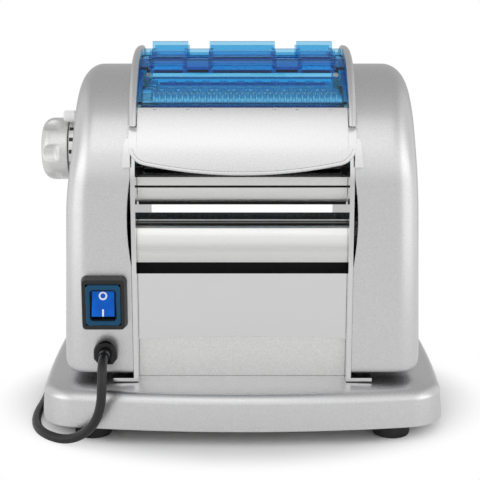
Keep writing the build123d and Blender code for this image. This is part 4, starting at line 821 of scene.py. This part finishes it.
def apron_low(x):
    """Lower edge of an apron: a wide arc with a corner arc at each end."""
    x = np.abs(x)
    wide = EDGE_CENTRE_Z - np.sqrt(EDGE_ARC**2 - x**2)
    corner = CORNER_Z - np.sqrt(np.clip(APRON_CORNER**2 - (x - CORNER_X) ** 2, 0, None))
    return np.where(x < CORNER_FROM, wide, corner)


def on_arch(x, z, radius):
    """Points on a cylinder about the arch's axis, in front of it."""
    return np.stack([x, -np.sqrt(radius**2 - (z - ARCH_Z) ** 2), z], -1)


def apron_sheet():
    """Outer and inner faces over X: each section runs along the cylinder between the lower and upper edge.

    The sections stand close on either side of each step in the upper edge, and stop just short of the sides.
    """
    beside, short = 0.05, 0.02
    corner = APRON_HALF - APRON_CORNER * (1 - np.sin(np.radians(np.linspace(0, 86, 14))))
    jumps = [middle + half for middle in APRON_NOTCHES for half in (-NOTCH_WIDTH / 2, NOTCH_WIDTH / 2)]
    jumps = np.array(jumps + [APRON_NARROW])
    right = [np.linspace(0, 66, 23), corner, jumps - beside, jumps + beside, [APRON_HALF - short]]
    right = np.unique(np.round(np.concatenate(right), 3))
    x = np.concatenate([-right[:0:-1], right])
    top = np.where(np.abs(x) > APRON_NARROW, APRON_STEP_Z, APRON_TOP_Z)
    for middle in APRON_NOTCHES:
        top = np.where(np.abs(np.abs(x) - middle) < NOTCH_WIDTH / 2, APRON_TOP_Z - NOTCH_DEPTH, top)
    low, high = (np.arcsin((edge - ARCH_Z) / APRON_RADIUS)[:, None] for edge in (apron_low(x), top))
    angle = low + np.linspace(0, 1, 33) * (high - low)
    across = np.broadcast_to(x[:, None], angle.shape)
    outer, inner = (np.stack([across, -radius * np.cos(angle), ARCH_Z + radius * np.sin(angle)], -1)
                    for radius in (APRON_RADIUS, APRON_RADIUS - APRON_T))
    return np.concatenate([outer, inner[:, ::-1]], axis=1)


def apron_bead():
    """A low round bead along the lower edge and its corners.

    Its path has the edge's points and the direction away from the sheet at each; the section is laid inwards
    from it and on to the cylinder.
    """
    joint = math.asin(CORNER_X / (EDGE_ARC - APRON_CORNER))
    turn = np.linspace(math.asin((BEAD_END_Z - CORNER_Z) / APRON_CORNER), joint - math.pi / 2, 14)
    corner = np.stack([CORNER_X + APRON_CORNER * np.cos(turn), CORNER_Z + APRON_CORNER * np.sin(turn),
                       np.cos(turn), np.sin(turn)], -1)
    tilt = np.linspace(joint, 0, 24)[1:]
    wide = np.stack([EDGE_ARC * np.sin(tilt), EDGE_CENTRE_Z - EDGE_ARC * np.cos(tilt),
                     np.sin(tilt), -np.cos(tilt)], -1)
    half = np.concatenate([corner, wide])
    path = np.concatenate([half, half[-2::-1] * np.array([-1, 1, -1, 1])])
    edge_x, edge_z, out_x, out_z = path.T[..., None]
    inward, proud = np.array(BEAD_SECTION).T
    return on_arch(edge_x - inward * out_x, edge_z - inward * out_z, APRON_RADIUS + proud)


def turn_in():
    """The top of an apron, folded in under the guard."""
    low = APRON_TOP_Z - TURN_IN_T
    high = low + TURN_IN_RISE
    root = -math.sqrt((APRON_RADIUS - APRON_T / 2) ** 2 - (low - ARCH_Z) ** 2)
    section = [(root, low), (-TURN_IN_Y, high), (-TURN_IN_Y, high + TURN_IN_T), (root, low + TURN_IN_T)]
    return along_x(section, TURN_IN_HALF)


def ear(side):
    """A slanted tab beside a lower corner, bent to the apron's cylinder, with its tip drawn in."""
    share = np.linspace(0, 1, 8)
    z = EAR_LOW_Z + EAR_HEIGHT * share
    tip = np.clip(share - EAR_TIP_FROM, 0, None) / (1 - EAR_TIP_FROM)
    outer_x = EAR_OUT_X - EAR_SLANT * share - EAR_TIP * tip
    inner_x = np.full(len(z), EAR_IN_X)
    front, back = (-np.sqrt(radius**2 - (z - ARCH_Z) ** 2) for radius in EAR_RADII)
    corners = [(inner_x, front), (outer_x, front), (outer_x, back), (inner_x, back)]
    return np.stack([np.stack([side * x, y, z], -1) for x, y in corners], axis=1)


def make_apron(front):
    solids = [apron_sheet(), apron_bead(), turn_in(), ear(-1), ear(1)]
    if not front:
        solids = [mirrored(rings, 1) for rings in solids]
    name, node = ("front_apron_sheet", "front_apron") if front else ("rear_apron_sheet", "rear_apron")
    place(soften(skin(name, solids, "apron"), 0.18), "machine", "chrome", node)


# ---- guard ---------------------------------------------------------------------------------------
def dome_z(radius, y):
    return ARCH_Z + np.sqrt(radius**2 - y**2)


def cell_faces(filled, index):
    """Quads wherever a filled cell meets an empty one, looking out of the filled one.

    The cells have an empty layer all round, so a cell's number is one more than that of its first corner.
    """
    faces = []
    for axis in range(3):
        one, other = [a for a in range(3) if a != axis]
        low_side = np.take(filled, range(filled.shape[axis] - 1), axis)
        high_side = np.take(filled, range(1, filled.shape[axis]), axis)
        for mask, turned_round in ((low_side & ~high_side, False), (high_side & ~low_side, True)):
            spots = np.argwhere(mask)
            quad = []
            for a, b in ((0, 0), (1, 0), (1, 1), (0, 1)):
                corner = spots.copy()
                corner[:, one] += a - 1
                corner[:, other] += b - 1
                quad.append(index[tuple(corner.T)])
            quad = np.stack(quad, -1)
            faces += (quad[:, ::-1] if turned_round != (axis == 1) else quad).tolist()
    return np.array(faces)


def make_guard():
    """Transparent guard: the outer faces of filled cells in a bent grid, so that it is one closed shell.

    Levels 0 to 2 are circles about the arch's axis (side walls, inner and outer face), level 3 the low ridge
    walls and the front bar, level 4 the tall teeth. A ridge meanders: its low walls stand in front of its
    teeth, and joints at the teeth's ends lead from one to the other.
    """
    x = np.array([-v for v in GUARD_CUTS_X[:0:-1]] + list(GUARD_CUTS_X))
    end = math.sqrt(GUARD_RADIUS**2 - (GUARD_END_Z - ARCH_Z) ** 2)
    y = np.array([-end, *GUARD_CUTS_Y, end])
    radii = np.array([GUARD_FOOT, GUARD_RADIUS - GUARD_T, GUARD_RADIUS])
    end_share = np.sqrt(radii**2 - (GUARD_END_Z - ARCH_Z) ** 2) / end
    ease = np.clip((np.abs(y) - GUARD_FAN_Y) / (end - GUARD_FAN_Y), 0, 1)[:, None]
    level_y = y[:, None] * (1 - (1 - end_share) * ease)
    level_z = dome_z(radii, level_y)
    nearest_ridge = np.round(y / RIDGE_Y + 0.12).clip(-1, 1) * RIDGE_Y
    bar_top = dome_z(GUARD_RADIUS - GUARD_T / 2, FRONT_BAR_Y) + FRONT_BAR_RISE
    low = np.where(y < FRONT_BAR_REACH, bar_top, dome_z(GUARD_RADIUS, nearest_ridge) + RIDGE_LOW)
    level_y = np.concatenate([level_y, y[:, None], y[:, None]], axis=1)
    level_z = np.concatenate([level_z, low[:, None], low[:, None] + RIDGE_STEP], axis=1)
    shape = (len(x), len(y), 5)
    corners = np.stack([np.broadcast_to(x[:, None, None], shape), np.broadcast_to(level_y, shape),
                        np.broadcast_to(level_z, shape)], -1)

    cx, cy = np.abs((x[1:] + x[:-1]) / 2)[:, None], ((y[1:] + y[:-1]) / 2)[None]
    filled = np.zeros((len(x) + 1, len(y) + 1, 6), dtype=bool)
    body = filled[1:-1, 1:-1, 1:-1]
    slots = np.any([(cy > low_y) & (cy < high_y) for low_y, high_y in FEED_SLOTS], axis=0)
    side_from, side_to = TALL_SIDE
    tooth = (cx < TALL_MIDDLE) | ((cx > side_from) & (cx < side_to))
    joint_starts = (TALL_MIDDLE - RIDGE_T, side_from, side_to - RIDGE_T)
    joint = np.any([(cx > start) & (cx < start + RIDGE_T) for start in joint_starts], axis=0)
    half = RIDGE_T / 2
    between = ((cx > TALL_MIDDLE - half) & (cx < side_from + half)) | (cx > side_to - half)
    body[:, :, 0] = cx > GUARD_WALL_X
    body[:, :, 1] = ~(slots & (cx < SLOT_HALF))
    for middle in (-RIDGE_Y, 0, RIDGE_Y):
        tall = tooth & (np.abs(cy - middle) < half)
        wall_y = middle - RIDGE_SHIFT
        wall_front = FEED_SLOTS[0][1] if middle < 0 else wall_y - half
        wall = between & (cy > wall_front) & (cy < wall_y + half)
        body[:, :, 2] |= tall | wall | (joint & (cy > wall_y) & (cy < middle))
        body[:, :, 3] |= tall
    body[:, :, 2] |= (cx < FRONT_BAR_HALF) & (np.abs(cy + FRONT_BAR_Y) < half)

    index = np.arange(corners[..., 0].size).reshape(shape)
    faces = cell_faces(filled, index)
    used = np.unique(faces)
    renumber = np.zeros(index.size, dtype=int)
    renumber[used] = np.arange(len(used))
    guard = mesh_piece("blue_guard", corners.reshape(-1, 3)[used], renumber[faces].tolist(), "blue_clear")
    guard.data.set_sharp_from_angle(angle=math.radians(32))
    place(soften(guard, 0.4), "guard", "blue_clear", "guard")


# ---- front ---------------------------------------------------------------------------------------
def make_cover():
    """Bowed sheet with a rounded upper edge, and the strip along the tray's front edge.

    The bow is fullest on a line below the middle. Above it the bow falls off with a power of the distance, and
    below it, a little, with the square.
    """
    share = np.concatenate([np.linspace(0, 0.06, 10)[:-1], np.linspace(0.06, 1, 45)])
    upper = 1 - np.clip((COVER_FULL - share) / COVER_FULL, 0, None) ** COVER_POWER
    below = np.clip(share - COVER_FULL, 0, None) / (1 - COVER_FULL)
    bow = COVER_BOW * (upper - COVER_FOOT_IN * below**2)
    z = COVER_TOP - (COVER_TOP - COVER_LOW) * share
    edge = np.clip(1 - (COVER_TOP - z) / COVER_EDGE, 0, 1)
    outer = np.stack([-COVER_Y - bow + COVER_EDGE * (1 - np.sqrt(1 - edge**2)), z], -1)
    inner = np.stack([-COVER_Y + COVER_DEPTH - bow, z], -1)[::-1]
    cover = skin("bowed_cover", [along_x(np.concatenate([outer, inner]), PLATE_HALF)], "cover")
    place(cover, "machine", "chrome", "front_cover")
    lip = skin("tray_lip", [along_x(strip(*TRAY_LIP), PLATE_HALF)], "cover")
    place(soften(lip, 0.2), "machine", "chrome")


def make_scraper_bars(front):
    """Upper band and a bowed lower one, each a section carried along X.

    The dark strips in the groove between them and under the lower one are painted shade.
    """
    swing = np.radians(np.linspace(0, 90, 6))
    corner = np.stack([BAND_Y + BAND_ROUND - BAND_ROUND * np.cos(swing),
                       BAND_CORNER_Z - BAND_ROUND * np.sin(swing)], -1)
    inner_y, inner_top = BAND_Y + BAND_T, BAND_TOP - BAND_T
    band = np.concatenate([[(BAND_Y, BAND_TOP)], corner, [
        (inner_y, BAND_CORNER_Z - BAND_ROUND), (inner_y, inner_top), (BAND_BACK_Y, inner_top),
        (BAND_BACK_Y, BAND_TOP)]])
    share = np.linspace(0, 1, 13)
    outer = np.stack([BOWED_Y + BOWED_IN * share**BOWED_POWER, BOWED_TOP - BOWED_HEIGHT * share], -1)
    bowed = np.concatenate([outer, outer[::-1] + np.array([BAND_T, 0.0])])
    bands = [along_x(section, PLATE_HALF) for section in (band, bowed)]
    painted_shade = [along_x(strip(*ranges), PLATE_HALF - 0.5) for ranges in (GROOVE_SHADE, UNDER_BAND_SHADE)]
    if not front:
        bands, painted_shade = ([mirrored(rings, 1) for rings in solids] for solids in (bands, painted_shade))
    name = "front" if front else "rear"
    outlet = soften(skin(name + "_outlet_bands", bands, "cover"), 0.2)
    place(outlet, "machine", "chrome", name + "_scraper_bar")
    place(skin(name + "_outlet_groove_shade", painted_shade, "black_and_gap_shade"), "machine", "black_plastic")


# ---- rollers and cutters -------------------------------------------------------------------------
def make_roller(name, y, ends, body, node):
    """Barrel with chamfered ends on two journals, turned about X."""
    left, right = ends
    stub, flat, chamfer = JOURNAL - JOURNAL_CHAMFER, ROLL_HALF - ROLL_CHAMFER, ROLL_RADIUS - ROLL_CHAMFER
    profile = [(left, 0.01), (left, stub), (left + JOURNAL_CHAMFER, JOURNAL), (-ROLL_HALF, JOURNAL),
               (-ROLL_HALF, chamfer), (-flat, ROLL_RADIUS), (flat, ROLL_RADIUS), (ROLL_HALF, chamfer),
               (ROLL_HALF, JOURNAL), (right - JOURNAL_CHAMFER, JOURNAL), (right, stub), (right, 0.01)]
    place(skin(name, [turned(profile, y, ROLL_Z, 96)], "roller"), body, "chrome", node)


def make_cutter(kind, row, y, pitch, shift, right):
    """Discs on one core with the pair gear at the left end, as rings about X.

    The gear's radius runs between tip and root with the angle from its nearest tooth. The second cutter of a
    pair has shift 1: its discs stand in the first one's gaps, and its teeth are turned by half a spacing.
    """
    angle = np.linspace(0, 2 * math.pi, 96, endpoint=False)
    spacing = 360 / PAIR_TEETH
    off = np.abs((np.degrees(angle) + (1 - shift) * spacing / 2) % spacing - spacing / 2)
    teeth = np.interp(off, PAIR_ANGLES, PAIR_RADII)
    gear_from, gear_to = PAIR_GEAR
    rows = [(-SHORT_END, 0.01), (-SHORT_END, CUT_JOURNAL), (gear_from, CUT_JOURNAL), (gear_from, teeth),
            (gear_to, teeth), (gear_to, CUT_JOURNAL), (CUT_FIRST, CUT_JOURNAL), (CUT_FIRST, CUT_CORE)]
    width = pitch / 2 - 2 * CUT_SIDE_PLAY
    edge, drop = CUT_EDGE
    count = int((CUT_LAST - CUT_FIRST) / pitch)
    for start in np.arange(count) * pitch + CUT_FIRST + shift * pitch / 2 + CUT_SIDE_PLAY:
        stop = start + width
        if stop <= CUT_LAST:
            rows += [(start, CUT_CORE), (start, CUT_RADIUS - drop), (start + edge, CUT_RADIUS),
                     (stop - edge, CUT_RADIUS), (stop, CUT_RADIUS - drop), (stop, CUT_CORE)]
    rows += [(CUT_LAST, CUT_CORE), (CUT_LAST, CUT_JOURNAL), (right, CUT_JOURNAL), (right, 0.01)]
    rings = [np.stack([np.full(len(angle), x), y + radius * np.cos(angle), CUT_Z + radius * np.sin(angle)], -1)
             for x, radius in rows]
    node = f"{kind}_cutter_{row}"
    place(skin(f"{kind}_ribbon_cutter_{row}", [np.stack(rings)], "cutter"), node, "steel", node)


# ---- switch and gland ----------------------------------------------------------------------------
SWITCH_X, SWITCH_Z = -97.5, 98.5
PIVOT_Y = -79.5
BEZEL_ROWS = [              # half width, half height, cut corner and Y, round the frame's section
    (12.2, 14.7, 1.9, -78.2), (12.2, 14.7, 1.9, -87.7), (11.6, 14.1, 1.7, -88.4), (9.4, 11.4, 1.6, -88.4),
    (9.2, 11.2, 1.6, -88.0), (9.2, 11.2, 1.6, -78.2)]
# painted shade: a thin black ring in the gap between the frame and the rocker
SEAT_SHADE_ROWS = [
    (9.15, 11.15, 1.6, -80.0), (9.15, 11.15, 1.6, -87.8), (8.3, 10.3, 0.3, -87.4), (8.3, 10.3, 0.3, -80.0)]
ROCKER_REST = -10.0         # degrees, with its lower half out
ROCKER_HALF_X = 8.0
ROCKER_HALF_Z = 9.3
ROCKER_FLAT_Z = 9.0         # the face ends here, before its broken edges
ROCKER_FACE_Y = -8.6
ROCKER_HOLLOW = 0.8
ROCKER_EDGE = 0.6
ROCKER_BACK = [(-1.0, ROCKER_HALF_Z), (3.0, 4.0), (3.0, -4.0), (-1.0, -ROCKER_HALF_Z)]     # Y and Z
OFF_MARK_Z = 5.4
OFF_MARK_RADII = (1.85, 2.95)
ON_MARK_Z = (-9.0, -4.1)
ON_MARK_HALF = 0.6
MARK_SUNK, MARK_PROUD = -0.2, 0.12
GLAND_X, GLAND_Z = -97.0, 63.5
GLAND_RADIUS = 8.4
GLAND_SIDE_Z = -4.8
GLAND_FOOT = (5.0, -9.0)    # half width and Z
GLAND_ROWS = [(-78.0, 1.0), (-85.5, 1.0), (-86.9, 0.95), (-87.8, 0.84), (-88.0, 0.7)]     # Y and scale
SLEEVE = [                  # Y and radius, drawn thinner
    (-87.5, 0.01), (-87.5, 4.9), (-88.5, 4.9), (-97.0, 4.0), (-97.0, 0.01)]


def frame_outline(half_x, half_z, corner, y):
    """Rectangle with corners cut at 45 degrees."""
    flat_x, flat_z = half_x - corner, half_z - corner
    x = np.array([half_x, half_x, flat_x, -flat_x, -half_x, -half_x, -flat_x, flat_x])
    z = np.array([-flat_z, flat_z, half_z, half_z, flat_z, -flat_z, -half_z, -half_z])
    return np.stack([SWITCH_X + x, np.full(8, y), SWITCH_Z + z], -1)


def make_bezel():
    """Switch frame and a thin ring of painted shade in the gap round the rocker, both closed rings of cut
    rectangles.
    """
    frame_ring, seat_shade = (np.stack([frame_outline(*row) for row in rows]) for rows in (BEZEL_ROWS, SEAT_SHADE_ROWS))
    bezel = skin("switch_frame", [frame_ring], "blue_bezel", closed=True)
    place(soften(bezel, 0.2), "machine", "blue_bezel", "switch_bezel")
    place(skin("rocker_seat_shade", [seat_shade], "black_and_gap_shade", closed=True), "machine", "black_plastic")


def rocker_face(z):
    """Y of the rocker's face from the pivot: a shallow hollow, a parabola over its height."""
    return ROCKER_FACE_Y + ROCKER_HOLLOW * (1 - (z / ROCKER_HALF_Z) ** 2)


def tipped(x, y, z):
    """From the rocker's own lines to its place: tipped about the pivot as it is at rest."""
    turn = math.radians(ROCKER_REST)
    return np.stack(np.broadcast_arrays(
        x, PIVOT_Y + y * math.cos(turn) - z * math.sin(turn),
        SWITCH_Z + y * math.sin(turn) + z * math.cos(turn)), -1)


def make_rocker():
    """The key, a section carried across its width, and its two printed marks on the hollow face."""
    z = np.linspace(-ROCKER_FLAT_Z, ROCKER_FLAT_Z, 25)
    edge_y = rocker_face(ROCKER_FLAT_Z) + ROCKER_EDGE
    back_y, back_z = np.array(ROCKER_BACK).T
    section_z = np.concatenate([[-ROCKER_HALF_Z], z, [ROCKER_HALF_Z], back_z])
    section_y = np.concatenate([[edge_y], rocker_face(z), [edge_y], back_y])
    rings = np.stack([tipped(np.full(len(section_z), SWITCH_X + x), section_y, section_z)
                      for x in (-ROCKER_HALF_X, ROCKER_HALF_X)])
    place(soften(skin("rocker_key", [rings], "blue_rocker"), 0.35), "rocker", "blue_rocker", "rocker")

    angle = np.linspace(0, 2 * math.pi, 48, endpoint=False)
    small, large = OFF_MARK_RADII
    loops = []
    for radius, proud in ((small, MARK_SUNK), (large, MARK_SUNK), (large, MARK_PROUD), (small, MARK_PROUD)):
        ring_z = OFF_MARK_Z + radius * np.sin(angle)
        loops.append(tipped(SWITCH_X + radius * np.cos(angle), rocker_face(ring_z) - proud, ring_z))
    place(skin("off_mark", [np.stack(loops)], "print", closed=True), "rocker", "blue_rocker")

    bar_z = np.linspace(*ON_MARK_Z, 6)
    edge_z = np.concatenate([bar_z, bar_z[::-1]])
    edge_x = SWITCH_X + np.repeat([-ON_MARK_HALF, ON_MARK_HALF], 6)
    bar = [tipped(edge_x, rocker_face(edge_z) - proud, edge_z) for proud in (MARK_SUNK, MARK_PROUD)]
    place(skin("on_mark", [np.stack(bar)], "print"), "rocker", "blue_rocker")


def make_gland():
    """Clamp block with a round top and cut lower corners, and the tapered sleeve in its middle."""
    swing = np.radians(np.linspace(0, 180, 19))
    foot_x, foot_z = GLAND_FOOT
    x = np.concatenate([GLAND_RADIUS * np.cos(swing), [-GLAND_RADIUS, -foot_x, foot_x, GLAND_RADIUS]])
    z = np.concatenate([GLAND_RADIUS * np.sin(swing), [GLAND_SIDE_Z, foot_z, foot_z, GLAND_SIDE_Z]])
    block = np.stack([np.stack([GLAND_X + scale * x, np.full(len(x), y), GLAND_Z + scale * z], -1)
                      for y, scale in GLAND_ROWS])
    along_y, sleeve_x, sleeve_z = np.moveaxis(turned(SLEEVE, 0, 0, 40), -1, 0)
    sleeve = np.stack([GLAND_X + sleeve_x, along_y, GLAND_Z + sleeve_z], -1)
    place(skin("cord_clamp", [block, sleeve], "gland"), "machine", "black_plastic", "cord_gland")


# ---- knob, peg and feet --------------------------------------------------------------------------
def make_knob():
    """Turned knob with six tear-drop scoops round its front part.

    The radius is the smaller of the turned profile and the scoop's circle, and the scoop eases out before the
    collar.
    """
    bend = np.linspace(0, math.pi / 2, 14)
    dome_x, dome_radius = KNOB_DOME
    round_x = KNOB_DOME_DEPTH + KNOB_ROUND * (1 - np.cos(bend))
    straight_x = np.linspace(KNOB_DOME_DEPTH + KNOB_ROUND + 0.4, KNOB_LENGTH - KNOB_BREAK, 22)
    x = np.concatenate([dome_x, round_x, straight_x, [KNOB_LENGTH, KNOB_LENGTH]])
    radius = np.concatenate([dome_radius, KNOB_RADIUS - KNOB_ROUND * (1 - np.sin(bend)),
                             np.full(len(straight_x), KNOB_RADIUS), [KNOB_RADIUS - KNOB_BREAK, 0.01]])
    angle = np.linspace(0, 2 * math.pi, 288, endpoint=False)
    half = math.pi / KNOB_FLUTES
    off = (angle - math.pi + half) % (2 * half) - half
    inside = np.clip(FLUTE_RADIUS**2 - (FLUTE_REACH * np.sin(off)) ** 2, 0, None)
    scoop = np.where(inside > 0, FLUTE_REACH * np.cos(off) - np.sqrt(inside), KNOB_RADIUS)
    scoop = np.minimum(scoop, KNOB_RADIUS)
    fade_from, fade_length = FLUTE_FADE
    share = np.clip((x - fade_from) / fade_length, 0, 1)
    out = (share * share * (3 - 2 * share))[:, None]
    edge = np.minimum(radius[:, None], scoop + (KNOB_RADIUS - scoop) * out)
    rings = np.stack([np.broadcast_to(KNOB_FACE_X + x[:, None], edge.shape), KNOB_Y + edge * np.cos(angle),
                      ROLL_Z + edge * np.sin(angle)], -1)
    knob = skin("scooped_knob", [rings], "silver_plastic", 50)
    place(knob, "thickness_knob", "silver_plastic", "thickness_knob")


def make_dial():
    """Fixed ring behind the knob with four index bars of falling length on its rim."""
    front, back = DIAL_X
    profile = [(front, DIAL_BORE), (front, KNOB_RADIUS - KNOB_BREAK), (front + KNOB_BREAK, KNOB_RADIUS),
               (back, KNOB_RADIUS), (back, DIAL_BORE)]
    ring = skin("index_ring", [turned(profile, KNOB_Y, ROLL_Z, 144)], "silver_plastic")
    place(ring, "machine", "silver_plastic", "knob_dial")
    radii = np.repeat([KNOB_RADIUS - INDEX_SUNK, KNOB_RADIUS + INDEX_PROUD], 7)
    bars = []
    for degrees, length in INDEX_BARS:
        swing = np.radians(180 - degrees + np.linspace(-INDEX_HALF, INDEX_HALF, 7))
        around = np.concatenate([swing, swing[::-1]])
        y, z = KNOB_Y + radii * np.cos(around), ROLL_Z + radii * np.sin(around)
        start = front + INDEX_START
        bars.append(np.stack([np.stack([np.full(14, x), y, z], -1) for x in (start, start + length)]))
    place(skin("index_bars", bars, "black_print"), "machine", "black_plastic")


def make_peg():
    """White push peg: a barrel with a rounded end on a thinner shaft."""
    bend = np.linspace(0, math.pi / 2, 9)
    x = np.concatenate([[PEG_TIP_X], PEG_TIP_X + PEG_ROUND * (1 - np.cos(bend)),
                        [PEG_BARREL_X, PEG_BARREL_X, PEG_SHAFT_X, PEG_SHAFT_X]])
    radius = np.concatenate([[0.01], PEG_NOSE + PEG_ROUND * np.sin(bend),
                             [PEG_BARREL, PEG_SHAFT, PEG_SHAFT, 0.01]])
    peg = skin("push_peg", [turned(np.stack([x, radius], -1), PEG_Y, PEG_Z, 48)], "peg")
    place(peg, "lock_peg", "silver_plastic", "lock_peg")


def make_feet():
    """Four turned feet with a rounded lower edge and a pocket for the screw head."""
    profile = [(5.0, 2.2), (5.0, 4.2), (0.0, 4.2), (0.0, 11.7), (0.35, 12.7), (1.5, 13.2), (11.5, 13.2),
               (11.5, 2.2)]
    foot_x, foot_y = FOOT_PLACE
    feet = [upright(profile, sx * foot_x, sy * foot_y) for sx in (-1, 1) for sy in (-1, 1)]
    place(skin("rubber_feet", feet, "rubber"), "machine", "rubber", "feet")


make_base()
for side in (-1, 1):
    make_housing(side)
    make_rim(side)
for front in (True, False):
    make_apron(front)
make_guard()
make_cover()
for front in (True, False):
    make_scraper_bars(front)
for kind, nip, pitch, front_end, rear_end in (("fine", CUT_NIP_FRONT, FINE_PITCH, SHORT_END, DRIVEN_END),
                                              ("wide", CUT_NIP_REAR, WIDE_PITCH, DRIVEN_END, SHORT_END)):
    make_cutter(kind, "front", nip - CUT_PITCH / 2, pitch, 0, front_end)
    make_cutter(kind, "rear", nip + CUT_PITCH / 2, pitch, 1, rear_end)
make_bezel()
make_rocker()
make_gland()
make_roller("front_sheet_roller", FRONT_ROLL_Y, (-DRIVEN_END, DRIVEN_END), "front_roller", "front_roller")
make_roller("rear_sheet_roller", REAR_ROLL_Y, (-DRIVEN_END, REAR_ROLL_END), "rear_roller", "rear_roller")
make_knob()
make_dial()
make_peg()
make_feet()


# ---- studio --------------------------------------------------------------------------------------
FLOOR_RADIUS = 620.0
SHADOW_HALF = (147.0, 112.0)    # half axes of the part of the floor that the camera sees with its shadow


def make_studio():
    """White surroundings; reflections see a room whose tone goes by the angle over the front horizon.

    A soft box stands high in front, the ceiling behind it is darker, and a brighter box stands on each side.
    """
    world = bpy.data.worlds.new("studio")
    bpy.context.scene.world = world
    world.use_nodes = True
    tree = world.node_tree
    tree.nodes.clear()
    rays = add(tree, "ShaderNodeLightPath")
    direction = add(tree, "ShaderNodeTexCoord").outputs["Generated"]
    parts = add(tree, "ShaderNodeSeparateXYZ", {"Vector": direction})
    ahead = add(tree, "ShaderNodeMath", {0: parts.outputs["Y"], 1: -1.0}, operation="MULTIPLY").outputs[0]
    angle = add(tree, "ShaderNodeMath", {0: parts.outputs["Z"], 1: ahead}, operation="ARCTAN2").outputs[0]
    around = add(tree, "ShaderNodeMapRange", {
        "Value": angle, "From Min": -math.pi, "From Max": math.pi}).outputs["Result"]
    tones = [(-180, "b0b0b0"), (-150, "b4b4b4"), (-30, "d2d2d2"), (-14, "cecece"), (-7, "c2c2c2"),
             (0, "cecece"), (8, "e2e2e2"), (20, "eaeaea"), (38, "e2e2e2"), (52, "d2d2d2"), (66, "c0c0c0"),
             (82, "b2b2b2"), (100, "a8a8a8"), (130, "a4a4a4"), (160, "a8a8a8"), (180, "b0b0b0")]
    room = ramp(tree, around, *[((degrees + 180) / 360, tone) for degrees, tone in tones])
    plain = add(tree, "ShaderNodeBackground", {"Color": linear("ffffff"), "Strength": 0.88})
    sideways = add(tree, "ShaderNodeMath", {0: parts.outputs["X"]}, operation="ABSOLUTE").outputs[0]
    boxes = add(tree, "ShaderNodeMapRange", {
        "Value": sideways, "From Min": 0.5, "From Max": 0.78, "To Min": 1.3, "To Max": 2.1},
        interpolation_type="SMOOTHSTEP").outputs["Result"]
    mirror = add(tree, "ShaderNodeBackground", {"Color": room, "Strength": boxes})
    white = add(tree, "ShaderNodeBackground", {"Color": linear("ffffff"), "Strength": 1.0})
    seen = add(tree, "ShaderNodeMixShader", {
        0: rays.outputs["Is Glossy Ray"], 1: plain.outputs[0], 2: mirror.outputs[0]})
    through = add(tree, "ShaderNodeMath", {
        0: rays.outputs["Is Camera Ray"], 1: rays.outputs["Is Transmission Ray"]}, operation="MAXIMUM")
    final = add(tree, "ShaderNodeMixShader", {0: through.outputs[0], 1: seen.outputs[0], 2: white.outputs[0]})
    out = add(tree, "ShaderNodeOutputWorld")
    tree.links.new(final.outputs[0], out.inputs["Surface"])


def make_floor():
    """Round white table top; the camera sees it go over into plain white away from the machine's shadow."""
    angles = np.linspace(0, 2 * math.pi, 96, endpoint=False)
    rim = np.stack([FLOOR_RADIUS * np.cos(angles), FLOOR_RADIUS * np.sin(angles), np.zeros(96)], 1)
    floor = mesh_piece("floor", rim, [list(range(96))], "print", smooth=False)
    table = new_material("white_table", "f4f4f4", Roughness=0.9)
    material, tree, shader = table
    patterned(table, (40, 1.0), tones=("f6f6f6", "f8f8f8"))
    rays = add(tree, "ShaderNodeLightPath")
    oval = coordinates(tree, (*(1 / (half * MM) for half in SHADOW_HALF), 0))
    away = add(tree, "ShaderNodeVectorMath", {0: oval}, operation="LENGTH")
    far = add(tree, "ShaderNodeMapRange", {
        "Value": away.outputs["Value"], "From Min": 1.0, "From Max": 1.35}, interpolation_type="SMOOTHSTEP")
    seen = add(tree, "ShaderNodeMath", {
        0: rays.outputs["Is Camera Ray"], 1: rays.outputs["Is Transmission Ray"]}, operation="MAXIMUM")
    share = add(tree, "ShaderNodeMath", {0: far.outputs["Result"], 1: seen.outputs[0]}, operation="MULTIPLY")
    glow = add(tree, "ShaderNodeEmission", {"Color": linear("ffffff"), "Strength": 1.0})
    mixed = add(tree, "ShaderNodeMixShader", {0: share.outputs[0], 1: shader.outputs[0], 2: glow.outputs[0]})
    tree.links.new(mixed.outputs[0], tree.nodes["Material Output"].inputs["Surface"])
    floor.data.materials.clear()
    floor.data.materials.append(material)


def make_lamp(name, spot, target, size, power):
    """A square soft box that looks at a point; places and size in millimetres, power in watts."""
    data = bpy.data.lights.new(name, "AREA")
    data.shape = "SQUARE"
    data.size = size * MM
    data.energy = power
    lamp = bpy.data.objects.new(name, data)
    bpy.context.scene.collection.objects.link(lamp)
    lamp.location = [v * MM for v in spot]
    aim = np.array(target) - np.array(spot)
    lamp.rotation_mode = "QUATERNION"
    lamp.rotation_quaternion = Vector(aim).to_track_quat("-Z", "Y")


bpy.context.scene.view_settings.view_transform = "Standard"
make_studio()
make_floor()
make_lamp("front_box", spot=(-150, -950, 1150), target=(0, 0, 150), size=900, power=1.0)

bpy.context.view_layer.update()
